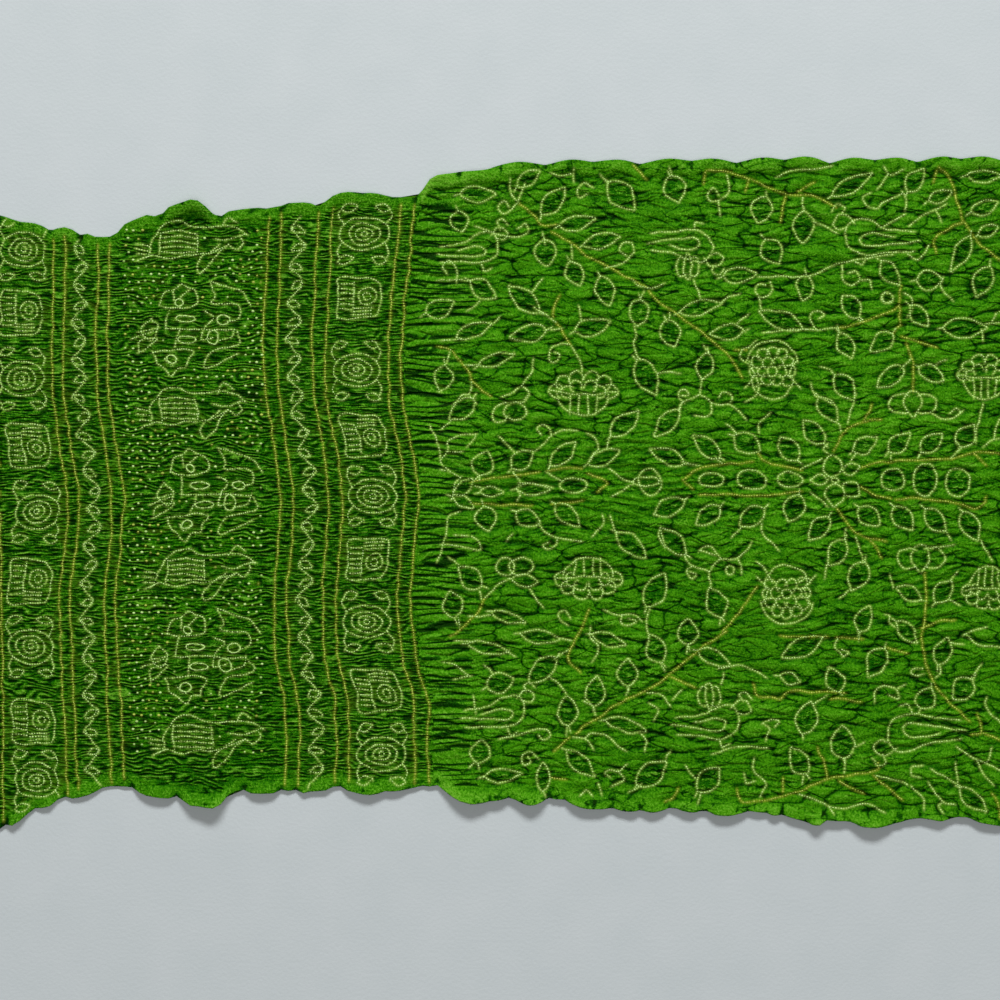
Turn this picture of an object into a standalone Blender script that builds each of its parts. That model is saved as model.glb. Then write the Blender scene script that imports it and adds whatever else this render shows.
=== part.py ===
"""A cut length of tied and dyed silk with its crinkle left in, laid flat. Metres, +Z up.

The origin is the middle of the cloth, on the surface that it lies on. +X runs along the
length, from the bordered end to the leafy field. +Y runs across the width, from the near
selvedge to the far one.
"""

from collections import namedtuple
import math

import bmesh
import bpy
from mathutils import Vector, noise

MM = 0.001

# The cloth
NAME = "bandhani_cloth"
CLOTH_THICKNESS = 1.5 * MM  # the silk with the finest of its crinkle, too small to model
PLEAT_ROWS = 64  # lines across the width that are a crest or a trough in turn
STATIONS_PER_LOBE = 2  # each ruffle has a point at its notch and one at its crown

# The two selvedges, notch by notch along the length, in millimetres from the middle of the
# view. A bulge is how far the ruffle that follows a notch stands out past the straight line
# to the next notch.
Ruffle = namedtuple("Ruffle", "far_x far_y far_bulge near_x near_y near_bulge")
RUFFLES = (
    Ruffle(-499, 284, 2, -499, -327, 3),
    Ruffle(-447, 267, 5, -470, -314, 2),
    Ruffle(-418, 264, 1, -433, -295, 1),
    Ruffle(-378, 262, 6, -402, -286, 2),
    Ruffle(-342, 281, 15, -363, -286, 4),
    Ruffle(-275, 283, 5, -320, -295, 13),
    Ruffle(-233, 288, 5, -264, -289, 5),
    Ruffle(-177, 292, 9, -216, -286, 4),
    Ruffle(-102, 301, 1, -162, -285, 7),
    Ruffle(-82, 302, 9, -78, -285, 11),
    Ruffle(0, 332, 1, 16, -295, 6),
    Ruffle(45, 333, 3, 52, -298, 1),
    Ruffle(92, 336, 3, 85, -303, 1),
    Ruffle(140, 334, 3, 155, -311, -1),
    Ruffle(190, 337, 3, 200, -308, 3),
    Ruffle(235, 335, 3, 260, -310, 1),
    Ruffle(282, 338, 4, 295, -314, 6),
    Ruffle(328, 335, 3, 345, -318, 6),
    Ruffle(372, 338, 3, 393, -320, -2),
    Ruffle(415, 336, 3, 430, -317, 1),
    Ruffle(458, 339, 3, 465, -319, 1),
    Ruffle(499, 337, 0, 499, -323, 0),
)

# The bands along the length, in millimetres. Pleats are as deep as the band's depth, and lift
# is how high the band's middle plane stands off the surface: below 0 it mostly lies flat.
Band = namedtuple("Band", "start depth lift")
BANDS = (
    Band(-499, 1.4, 0.3),  # rosette border
    Band(-445, 0.7, -0.5),  # tied lines with a narrow vine between them
    Band(-380, 2.6, 1.1),  # figures among scattered dots
    Band(-235, 0.7, -0.5),  # second pair of tied lines with its vine
    Band(-165, 1.7, 0.5),  # second rosette border
    Band(-108, 0.6, -0.6),  # last tied lines
    Band(-76, 3.8, 1.7),  # long gathers let out of the tied lines
    Band(-25, 3.1, 1.3),  # leafy field
)
BAND_BLEND = 14.0  # how softly one band runs into the next

# The folds, in millimetres
SLIP_LENGTH = 85.0  # how far along a pleat runs before it fades and its neighbour rises
SLIP_WIDTH = 34.0
SLIP_TURNS = 2.6  # radians of phase that the slip moves a pleat by, at most
SWELL_LENGTH = 110.0  # the broad soft swells under the pleats
SWELL_WIDTH = 60.0
SWELL_DEPTH = 2.0
ROW_DRIFT = 2.6  # how far a pleat wanders across the width
ROW_DRIFT_LENGTH = 70.0
RUFFLE_LIFT = 7.0  # how high the crown of a ruffle stands at the selvedge
RUFFLE_REACH = 26.0  # how far in from the selvedge the ruffle's lift dies out
BULGE_FOR_FULL_LIFT = 8.0

SILK_GREEN = (0.045, 0.27, 0.008, 1.0)


def clear_scene():
    for obj in list(bpy.data.objects):
        bpy.data.objects.remove(obj)


def lerp(a, b, t):
    return a + (b - a) * t


def smooth(t):
    t = min(1.0, max(0.0, t))
    return t * t * (3.0 - 2.0 * t)


def station(index):
    """One section across the cloth: its far and near ends, and how far each bulges there."""
    lobe = min(index // STATIONS_PER_LOBE, len(RUFFLES) - 2)
    t = index / STATIONS_PER_LOBE - lobe
    a, b = RUFFLES[lobe], RUFFLES[lobe + 1]
    crown = math.sin(math.pi * t)
    far_bulge, near_bulge = a.far_bulge * crown, a.near_bulge * crown
    far = Vector((lerp(a.far_x, b.far_x, t), lerp(a.far_y, b.far_y, t) + far_bulge))
    near = Vector((lerp(a.near_x, b.near_x, t), lerp(a.near_y, b.near_y, t) - near_bulge))
    return far, near, far_bulge, near_bulge


def band_values(x):
    """Pleat depth and lift at x, run softly from one band into the next."""
    depth, lift = BANDS[0].depth, BANDS[0].lift
    for band in BANDS[1:]:
        share = smooth((x - band.start) / BAND_BLEND + 0.5)
        depth, lift = lerp(depth, band.depth, share), lerp(lift, band.lift, share)
    return depth, lift


def underside(x, y, row, far, near, far_bulge, near_bulge):
    """Height of the cloth's underside in millimetres, never below the surface it lies on."""
    depth, lift = band_values(x)
    slip = SLIP_TURNS * noise.noise(Vector((x / SLIP_LENGTH, y / SLIP_WIDTH, 0.0)))
    swell = SWELL_DEPTH * noise.noise(Vector((x / SWELL_LENGTH, y / SWELL_WIDTH, 5.0)))
    pleat = depth * math.cos(math.pi * row + slip)
    ruffle = 0.0
    for bulge, inset in ((far_bulge, far.y - y), (near_bulge, y - near.y)):
        share = min(1.0, max(0.0, bulge) / BULGE_FOR_FULL_LIFT)
        ruffle += RUFFLE_LIFT * share * smooth(1.0 - inset / RUFFLE_REACH)
    return max(0.0, lift + swell + pleat + ruffle)


def silk_material():
    material = bpy.data.materials.new("silk")
    material.use_nodes = True
    shader = material.node_tree.nodes["Principled BSDF"]
    shader.inputs["Base Color"].default_value = SILK_GREEN
    shader.inputs["Roughness"].default_value = 0.45
    shader.inputs["Metallic"].default_value = 0.0
    return material


def shape_underside(bm, stations):
    """Moves the points of a flat grid to the underside of the crinkled cloth."""
    columns = len(stations) - 1
    for vertex in bm.verts:
        column = round((vertex.co.x + 1.0) / 2.0 * columns)
        row = round((vertex.co.y + 1.0) / 2.0 * (PLEAT_ROWS - 1))
        far, near, far_bulge, near_bulge = stations[column]
        flat = near.lerp(far, row / (PLEAT_ROWS - 1))
        inside = 0 < row < PLEAT_ROWS - 1
        drift = ROW_DRIFT * noise.noise(Vector((flat.x, flat.y, 90.0)) / ROW_DRIFT_LENGTH)
        y = flat.y + drift * inside
        z = underside(flat.x, y, row, far, near, far_bulge, near_bulge)
        vertex.co = Vector((flat.x, y, z)) * MM


def centre_on_origin(bm):
    for axis in (0, 1):
        places = [vertex.co[axis] for vertex in bm.verts]
        middle = (min(places) + max(places)) / 2.0
        for vertex in bm.verts:
            vertex.co[axis] -= middle


def make_cloth():
    lobes = len(RUFFLES) - 1
    stations = [station(i) for i in range(lobes * STATIONS_PER_LOBE + 1)]
    bm = bmesh.new()
    columns, rows = len(stations) - 1, PLEAT_ROWS - 1
    bmesh.ops.create_grid(bm, x_segments=columns, y_segments=rows, size=1.0)
    shape_underside(bm, stations)
    centre_on_origin(bm)
    mesh = bpy.data.meshes.new(NAME)
    bm.to_mesh(mesh)
    bm.free()
    mesh.shade_smooth()
    cloth = bpy.data.objects.new(NAME, mesh)
    bpy.context.scene.collection.objects.link(cloth)
    cloth.data.materials.append(silk_material())
    sheet = cloth.modifiers.new("thickness", "SOLIDIFY")
    sheet.thickness = CLOTH_THICKNESS
    sheet.offset = 1.0
    return cloth


clear_scene()
make_cloth()
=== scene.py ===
# %% [markdown]
# # A tied and dyed silk, laid flat
# Bandhani is silk that is pinched into thousands of tiny knots, each tied with thread, and then
# dyed. Where a knot was, a small dot stays light. When the threads come off, the silk keeps the
# crinkle of the tying. So the piece has three things to make: the crinkled sheet, the drawing
# that the dots follow, and the dots. The solid that carries all this is loaded first: it gives
# the cloth's outline and its broad folds, and what follows is laid on it.

# %% The solid under the cloth
import math
import random
from collections import namedtuple

import bmesh
import bpy
import numpy as np
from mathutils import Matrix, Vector
from mathutils.bvhtree import BVHTree

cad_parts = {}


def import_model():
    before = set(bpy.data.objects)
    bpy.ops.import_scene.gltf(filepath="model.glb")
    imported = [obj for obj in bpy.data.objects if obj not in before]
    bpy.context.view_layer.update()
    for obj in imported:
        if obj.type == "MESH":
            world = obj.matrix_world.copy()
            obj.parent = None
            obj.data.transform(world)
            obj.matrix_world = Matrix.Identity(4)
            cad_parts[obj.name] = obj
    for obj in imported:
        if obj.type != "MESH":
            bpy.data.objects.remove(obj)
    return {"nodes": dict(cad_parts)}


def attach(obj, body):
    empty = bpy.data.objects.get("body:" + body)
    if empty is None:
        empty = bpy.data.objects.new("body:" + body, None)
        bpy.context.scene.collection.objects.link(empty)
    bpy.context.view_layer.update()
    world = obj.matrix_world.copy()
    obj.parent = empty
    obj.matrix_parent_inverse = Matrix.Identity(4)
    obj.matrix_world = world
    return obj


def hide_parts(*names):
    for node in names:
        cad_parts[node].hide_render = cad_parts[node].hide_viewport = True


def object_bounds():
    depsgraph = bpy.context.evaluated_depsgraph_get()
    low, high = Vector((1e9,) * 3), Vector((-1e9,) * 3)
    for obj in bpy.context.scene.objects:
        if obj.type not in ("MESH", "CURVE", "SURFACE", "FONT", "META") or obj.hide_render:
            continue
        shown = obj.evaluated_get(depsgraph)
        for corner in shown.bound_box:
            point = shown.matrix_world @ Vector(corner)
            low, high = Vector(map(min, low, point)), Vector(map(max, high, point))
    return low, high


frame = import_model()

solid_low, solid_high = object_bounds()
solid = frame["nodes"]["bandhani_cloth"]
MM = 0.001
print("solid, mm:", [round(v / MM, 1) for v in solid_high - solid_low])

# %% [markdown]
# ## Where things are
# The drawing is laid out as on a table: millimetres, x to the right along the cloth and y away
# from the viewer, counted from the middle of the picture. That middle is not the middle of the
# cloth, so one small shift turns table places into the solid's own places.

# %% Table places
CLOTH_MIDDLE_Y = 7.0  # the cloth's middle, as a table place, mm
ends = (solid_low.x / MM, solid_high.x / MM)


def world(x, y, z=0.0):
    """A place on the table, in millimetres, as a place in the scene, in metres."""
    return Vector((x, y - CLOTH_MIDDLE_Y, z)) * MM


print("cloth ends, mm:", [round(v, 1) for v in ends])

# %% [markdown]
# ## The ground to draw on
# Everything that varies over the cloth (how high it stands, how far the nearest tied line is) is
# first worked out on a plain ground of one-millimetre cells with numpy, which is quick, and the
# mesh then reads the ground. A blur is a multiplication in frequency space, so even a wide one
# costs little.

# %% A ground of one-millimetre cells
GROUND_X = 512
GROUND_Y = 352
xs = np.arange(-GROUND_X, GROUND_X, dtype=float)
ys = np.arange(-GROUND_Y, GROUND_Y, dtype=float)
X, Y = np.meshgrid(xs, ys)


def blur(field, along, across=None):
    """The field softened by a Gaussian of those sizes in millimetres."""
    across = along if across is None else across
    fx = np.fft.rfftfreq(field.shape[1])
    fy = np.fft.fftfreq(field.shape[0])[:, None]
    keep = np.exp(-2.0 * math.pi**2 * ((fx * along) ** 2 + (fy * across) ** 2))
    return np.fft.irfft2(np.fft.rfft2(field) * keep, field.shape)


def patchy(along, across, seed):
    """Soft random patches of about that size, from -1 to 1 or so."""
    field = blur(np.random.default_rng(seed).normal(size=X.shape), along, across)
    return field / field.std() / 2.0


def read(field, x, y):
    """The field's value at table places, between the cells."""
    u = np.clip(np.asarray(x, float) + GROUND_X, 0, field.shape[1] - 1.001)
    v = np.clip(np.asarray(y, float) + GROUND_Y, 0, field.shape[0] - 1.001)
    c, r = u.astype(int), v.astype(int)
    u, v = u - c, v - r
    near = field[r, c] * (1 - u) + field[r, c + 1] * u
    far = field[r + 1, c] * (1 - u) + field[r + 1, c + 1] * u
    return near * (1 - v) + far * v


def soft_step(value, start, end):
    t = np.clip((value - start) / (end - start), 0.0, 1.0)
    return t * t * (3.0 - 2.0 * t)


# %% [markdown]
# ## Feeling the solid
# A ray dropped on the solid tells how high it stands there. Rays also find the two selvedges:
# between a place on the cloth and one off it, halving the gap a dozen times lands on the edge.

# %% Heights and selvedges of the solid
tree = BVHTree.FromPolygons(
    [v.co for v in solid.data.vertices], [p.vertices for p in solid.data.polygons]
)
DOWN = Vector((0, 0, -1))
ABOVE = 60.0
FEEL_STEP = 4


def stands(x, y):
    """How high the solid's top is at a table place, or None beside the cloth."""
    hit = tree.ray_cast(world(x, y, ABOVE), DOWN)[0]
    return None if hit is None else hit.z / MM


def selvedge(x, side):
    inside, outside = 0.0, side * GROUND_Y
    for _ in range(12):
        middle = (inside + outside) / 2
        if stands(x, middle) is None:
            outside = middle
        else:
            inside = middle
    return inside


edge_x = np.linspace(ends[0] + 0.3, ends[1] - 0.3, 500)
print("solid's width, mm:", [round(selvedge(x, 1) - selvedge(x, -1)) for x in (edge_x[0], 0.0, edge_x[-1])])

coarse = np.zeros((len(ys) // FEEL_STEP, len(xs) // FEEL_STEP))
for row in range(coarse.shape[0]):
    for column in range(coarse.shape[1]):
        height = stands(xs[column * FEEL_STEP], ys[row * FEEL_STEP])
        coarse[row, column] = np.nan if height is None else height
known = ~np.isnan(coarse)
weight = np.kron(known.astype(float), np.ones((FEEL_STEP, FEEL_STEP)))
height = np.kron(np.where(known, coarse, 0.0), np.ones((FEEL_STEP, FEEL_STEP)))
SOLID_SOFTEN = 4.5
solid_top = blur(height, SOLID_SOFTEN) / np.maximum(blur(weight, SOLID_SOFTEN), 0.02)
print("solid's top, mm:", round(np.nanmin(coarse), 1), "to", round(np.nanmax(coarse), 1))

# %% [markdown]
# ## Drawing with tied lines
# A maker stamps the pattern on the silk and ties along it, so every figure is a line of knots.
# Here a figure is a short list of places, run into a smooth line and stepped along at the pitch
# of the knots. Two dyes: cream where the silk was tied white, mustard where it was tied after a
# first yellow bath.

# %% Lines and figures
PITCH = 2.45  # from one knot to the next, mm
CREAM, MUSTARD = 0.0, 1.0
Line = namedtuple("Line", "x y dye")
lines = []


def smooth_line(points, closed=False, steps=8):
    """A smooth line through given points (a Catmull-Rom curve)."""
    p = np.asarray(points, float)
    if len(p) < 3:
        t = np.linspace(0, 1, steps + 1)[:, None]
        return p[0] * (1 - t) + p[-1] * t
    if closed:
        p = np.vstack([p[-1], p, p[0], p[1]])
    else:
        p = np.vstack([2 * p[0] - p[1], p, 2 * p[-1] - p[-2]])
    t = np.linspace(0, 1, steps, endpoint=False)[:, None]
    parts = []
    for a, b, c, d in zip(p, p[1:], p[2:], p[3:]):
        parts.append(0.5 * (2 * b + (c - a) * t + (2 * a - 5 * b + 4 * c - d) * t**2
                            + (3 * b - 3 * c + d - a) * t**3))
    parts.append(p[-2:-1])
    return np.vstack(parts)


def ways(text):
    """The lines in a table: places parted by spaces, lines parted by strokes."""
    return [np.array([[float(v) for v in spot.split(",")] for spot in part.split()])
            for part in text.split("/") if part.strip()]


def put(shape, x, y, turn=0.0, size=1.0, stretch=1.0, flip=1.0):
    """A figure's lines set down at a table place, turned by degrees."""
    a = math.radians(turn)
    placed = []
    for line in shape:
        u, v = line[:, 0] * size, line[:, 1] * size * stretch * flip
        placed.append(np.column_stack([
            x + u * math.cos(a) - v * math.sin(a), y + u * math.sin(a) + v * math.cos(a)]))
    return placed


def leaf(length, width, stalk=4.0):
    """A pointed leaf, its middle at the origin and its tip along x, with a short stalk."""
    t = np.linspace(0, 1, 15)
    half = width / 2 * np.sin(math.pi * t**0.85) ** 0.9
    x = length * (t - 0.5)
    upper = np.column_stack([x, half])
    lower = np.column_stack([x, -half])[::-1]
    outline = [np.vstack([upper, lower[1:]])]
    if stalk:
        outline.append(np.array([(-length / 2 - stalk, -1.0), (-length / 2, 0.0)]))
    return outline


def ring(rx, ry, start=0.0):
    t = np.radians(start) + np.linspace(0, 2 * math.pi, 33)
    return np.column_stack([rx * np.cos(t), ry * np.sin(t)])


def draw(shape, dye=CREAM):
    for line in shape:
        lines.append(Line(line[:, 0], line[:, 1], dye))


print("figures ready")

# %% [markdown]
# ## The selvedges
# The untied strip along each selvedge stands out in small round ruffles with a sharp notch
# between each two. Each ruffle is a few listed places, a millimetre or two beside the
# solid's plainer edge, and runs smoothly from notch to notch.

# %% Ruffles along both selvedges
FAR_RUFFLES = """
-500,284 -490,281 -479,277 / -479,277 -475,276.5 -462,275 -454,272 -446,267 / -446,267 -440,270 -430,271
-424,268 -418,263.5 / -418,263.5 -410,265 -403,262 -388,262 -383,263.5 -380,267 -377,271 -372,275
-364,278 -354,282 -347,284 -341,280 / -341,280 -335,284.5 -332,288 -328,291 -320,293.5 -305,298 -300,297
-294,293 -289,288 -286,284 -276,282.5 / -276,282.5 -272,286 -267,287.5 -255,289 -239,290.5 -236,288 /
-236,288 -230,291 -220,291.5 -212,295.5 -208,294 / -208,294 -202,295.5 -190,295.5 -184,293 -178,291 /
-178,291 -175,295 -170,300 -165,302.5 -158,305 -148,306 -138,305 / -138,305 -125,305 -115,303 -102,300.5
/ -102,300.5 -95,302 -84,300.5 / -84,300.5 -80,303 -76,310 -72,316 -67,320.5 -60,323 -50,324 -40,326 /
-40,326 -32,326.5 -15,328 -8,330 0,333 / 0,333 20,336 45,333 / 45,333 70,338 92,336 / 92,336 118,338
140,334 / 140,334 166,339 190,337 / 190,337 212,339 235,335 / 235,335 260,340 282,338 / 282,338 305,341
328,335 / 328,335 350,340 372,338 / 372,338 395,340 415,336 / 415,336 438,341 458,339 / 458,339 480,341
500,337
"""
NEAR_RUFFLES = """
-500,-329 -495,-326 -492,-322 / -492,-322 -488,-324.5 -480,-321 -473,-315 -465,-308 -460,-306 /
-460,-306 -452,-306 -445,-303 -440,-298 -434,-295 / -434,-295 -425,-297 -415,-295 -405,-292 -400,-288
-390,-285 / -390,-285 -375,-285 -365,-286 / -365,-286 -358,-291 -350,-294 -330,-296.5 -322,-294 /
-322,-294 -316,-297 -310,-302.5 -300,-303.5 -290,-305 -282,-305 -275,-300 -270,-293.5 -266,-289 /
-266,-289 -260,-289.5 -254,-288 / -254,-288 -250,-290.5 -245,-291.5 -225,-291.5 -220,-291 -217,-287 /
-217,-287 -210,-289.5 -203,-288.5 / -203,-288.5 -195,-291.5 -190,-290.5 -185,-288.5 / -185,-288.5
-178,-290 -174,-289 -168,-286 -161,-283.5 / -161,-283.5 -150,-289.5 -142,-291 -132,-293 -120,-291.5
-117,-289 / -117,-289 -110,-289.5 -100,-289 -85,-286 -79,-284 / -79,-284 -70,-285 -63,-283 / -63,-283
-57,-287.5 -50,-293 -42,-298 -35,-300 -28,-301.5 -20,-301 -10,-299 / -10,-299 0,-298 8,-295.5 / 8,-295.5
15,-297.5 22,-301 30,-303 40,-300.5 48,-296 / 48,-296 56,-297.5 64,-297.5 / 64,-297.5 68,-300 75,-303.5
85,-306.5 100,-307 112,-306 / 112,-306 122,-309 132,-309.5 140,-308 / 140,-308 150,-310.5 160,-309
168,-306 / 168,-306 175,-306.5 182,-309 192,-310.5 200,-309 / 200,-309 207,-309.5 215,-313 228,-313.5
238,-311.5 248,-309 / 248,-309 255,-310 265,-311 / 265,-311 272,-313.5 280,-312.5 / 280,-312.5 290,-316
300,-318.5 305,-320 / 305,-320 310,-322.5 318,-322.5 323,-318 / 323,-318 338,-319 345,-319 / 345,-319
352,-321 358,-324 368,-325 375,-325 385,-323 393,-321 / 393,-321 400,-319.5 408,-317 418,-316 / 418,-316
428,-317.5 438,-319 446,-317 453,-315 / 453,-315 465,-315.5 475,-320 485,-322 500,-324.5
"""


def notches_of(text):
    """Where the ruffles of the table meet, and its two ends."""
    ruffles = ways(text)
    return [ruffle[0] for ruffle in ruffles] + [ruffles[-1][-1]]


def ruffled(text):
    """The selvedge at each of edge_x, run smoothly along every ruffle of the table."""
    outline = np.vstack([smooth_line(ruffle) for ruffle in ways(text)])
    return np.interp(edge_x, outline[:, 0], outline[:, 1])


far_notch, near_notch = notches_of(FAR_RUFFLES), notches_of(NEAR_RUFFLES)
edge_far, edge_near = ruffled(FAR_RUFFLES), ruffled(NEAR_RUFFLES)
far_bulge = np.maximum(edge_far - np.interp(edge_x, *np.transpose(far_notch)), 0.0)
near_bulge = np.maximum(np.interp(edge_x, *np.transpose(near_notch)) - edge_near, 0.0)
print("ruffles:", len(far_notch) - 1, "and", len(near_notch) - 1)

# %% [markdown]
# ## The tied lines across the end
# Ten mustard lines run from selvedge to selvedge. The crinkle pulls them sideways together, so
# they share one drift, set at a few heights for the left, middle and right of the bands. One
# more lies at the cloth's very end.

# %% Drift and the tied lines
Drift = namedtuple("Drift", "y left middle right")
DRIFT = (
    Drift(300, 2, 4, 14), Drift(260, 1, 3, 10), Drift(160, -1, -3, 0), Drift(100, 0, 0, 0),
    Drift(40, 9, 11, 13), Drift(0, 16, 15, 17), Drift(-60, 10, 11, 10), Drift(-100, 6, 8, 8),
    Drift(-160, 9, 10, 15), Drift(-200, 10, 20, 27), Drift(-240, 12, 22, 26),
    Drift(-290, 15, 20, 29),
)
DRIFT_AT = (-415.0, -195.0, -95.0)
drift_y = np.linspace(-330, 330, 221)
drift_table = np.array([
    np.interp(drift_y, [d.y for d in DRIFT][::-1], [d[i] for d in DRIFT][::-1]) for i in (1, 2, 3)])
DRIFT_SOFTEN = 5
bell = np.hanning(2 * DRIFT_SOFTEN + 1)
drift_table = np.array([
    np.convolve(np.pad(row, DRIFT_SOFTEN, "edge"), bell / bell.sum(), "valid") for row in drift_table])


def drift(x, y):
    """How far the crinkle pulls those places along the cloth."""
    left, middle, right = (np.interp(y, drift_y, row) for row in drift_table)
    share = np.clip((x - DRIFT_AT[0]) / (DRIFT_AT[1] - DRIFT_AT[0]), 0, 1)
    later = np.clip((x - DRIFT_AT[1]) / (DRIFT_AT[2] - DRIFT_AT[1]), 0, 1)
    return left * (1 - share) + (middle * (1 - later) + right * later) * share


def drifted(points):
    """Places of the bands as they end up once the crinkle has pulled them along."""
    p = np.asarray(points, float)
    return np.column_stack([p[:, 0] + drift(p[:, 0], p[:, 1]), p[:, 1]])


TIED_LINES = (-445, -434, -401, -389, -233, -220, -185, -172, -111, -98)
INSIDE_SELVEDGE = 9.0
END_LINE = ((-499.5, 60), (-498, 0), (-496, -120), (-494.5, -220), (-494.5, -318))  # it leaves the cloth
wander = random.Random(11)
for x in TIED_LINES:
    far = np.interp(x, edge_x, edge_far) - INSIDE_SELVEDGE
    near = np.interp(x, edge_x, edge_near) + INSIDE_SELVEDGE
    spots = [(x + wander.uniform(-0.8, 0.8), y) for y in np.linspace(near, far, 20)]
    draw([drifted(smooth_line(spots))], MUSTARD)
draw([smooth_line(END_LINE)], MUSTARD)
print("tied lines:", len(TIED_LINES) + 1)

# %% [markdown]
# ## Borders and narrow vines
# Two wide borders alternate a rosette of rings with a square of short bars, and tendrils fill
# the corners. Two narrow bands hold a waving vine with a leaf in every bend.

# %% The two borders
ROSETTE = (22.0, 17.0)
SQUARE = (20.0, 21.0)
rough = random.Random(5)


def handmade(line, amount=0.5):
    """The small errors of work done by fingers."""
    return line + np.array([[rough.uniform(-amount, amount) for _ in (0, 1)] for _ in line])


def rosette(rx, ry):
    rings = [handmade(ring(rx * k, ry * k), 0.35) for k in (1.0, 0.64, 0.36)]
    rings.append(handmade(ring(rx * 0.12, ry * 0.14), 0.2))
    return rings


def rosette_tendrils(rx, ry):
    """A leaf on a short curved stem by each corner of a rosette."""
    out = []
    for sx in (-1, 1):
        for sy in (-1, 1):
            stem = [(rx * 0.97, ry + 7), (rx + 1, ry + 2), (rx * 0.86, ry * 0.6)]
            out.append(smooth_line([(sx * x, sy * y) for x, y in stem]))
            out += put(leaf(14, 8, 0), sx * rx * 0.66, sy * (ry + 9.5), 90 + sx * 75)
    return out


def square(rx, ry):
    """A square with short bars down one side and a hooked ring in the other."""
    corners = [(-rx, -ry), (-rx, 0), (-rx, ry), (0, ry), (rx * 0.7, ry * 0.9), (rx, ry * 0.4),
               (rx, -ry * 0.5), (rx * 0.8, -ry * 0.95), (0, -ry)]
    out = [handmade(smooth_line(corners, closed=True, steps=4), 0.5)]
    out.append(np.array([(-rx * 0.3, ry * 0.8), (-rx * 0.3, -ry * 0.45)]))
    for k in range(6):
        y = ry * (0.72 - 0.26 * k)
        out.append(handmade(np.array([(-rx * 0.88, y), (-rx * 0.36, y)]), 0.4))
    out.append(handmade(put([ring(rx * 0.42, ry * 0.42, 40)], rx * 0.36, ry * 0.12)[0], 0.4))
    out.append(handmade(put([ring(rx * 0.17, ry * 0.17)], rx * 0.36, ry * 0.12)[0], 0.2))
    for k in range(3):
        y = -ry * (0.5 + 0.16 * k)
        out.append(handmade(np.array([(-rx * 0.2, y), (rx * 0.6, y)]), 0.4))
    return out


Border = namedtuple("Border", "x rosettes squares rosette_size square_size")
BORDERS = (
    Border(-475.5, (249, 121, -12, -146, -279), (186, 54, -81, -221), ROSETTE, SQUARE),
    Border(-142, (265, 129, 4, -121, -253), (201, 64, -59, -190), (23, 16.5), (20, 20)),
)
for border in BORDERS:
    for y in border.rosettes:
        shape = rosette(*border.rosette_size) + rosette_tendrils(*border.rosette_size)
        draw([drifted(line) for line in put(shape, border.x, y)])
    for y in border.squares:
        shape = square(*border.square_size)
        draw([drifted(line) for line in put(shape, border.x, y, flip=rough.choice((-1, 1)))])
print("border lines:", len(lines))

# %% The two narrow vines
Vine = namedtuple("Vine", "x far near first wave reach")
VINES = (Vine(-418.5, 256, -290, 232, 37.0, 7.0), Vine(-203.5, 280, -286, 252, 37.0, 7.0))
for vine in VINES:
    y = np.linspace(vine.far, vine.near, 150)
    swing = 2 * math.pi * (vine.first - y) / vine.wave
    x = vine.x + vine.reach * (np.cos(swing) + 0.1 * np.cos(3 * swing))
    draw([drifted(handmade(np.column_stack([x, y]), 0.25))])
    bends = int((vine.first - vine.near) / vine.wave * 2)
    for k in range(-1, bends):
        side = -1 if k % 2 else 1  # the vine swings to the right, then to the left
        y = vine.first - k * vine.wave / 2
        shape = put(leaf(12.0, 6.5, 0), vine.x + side * 0.5, y - 1.5, 90 + side * rough.uniform(105, 125))
        draw([drifted(handmade(line, 0.3)) for line in shape])
print("lines so far:", len(lines))
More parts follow.
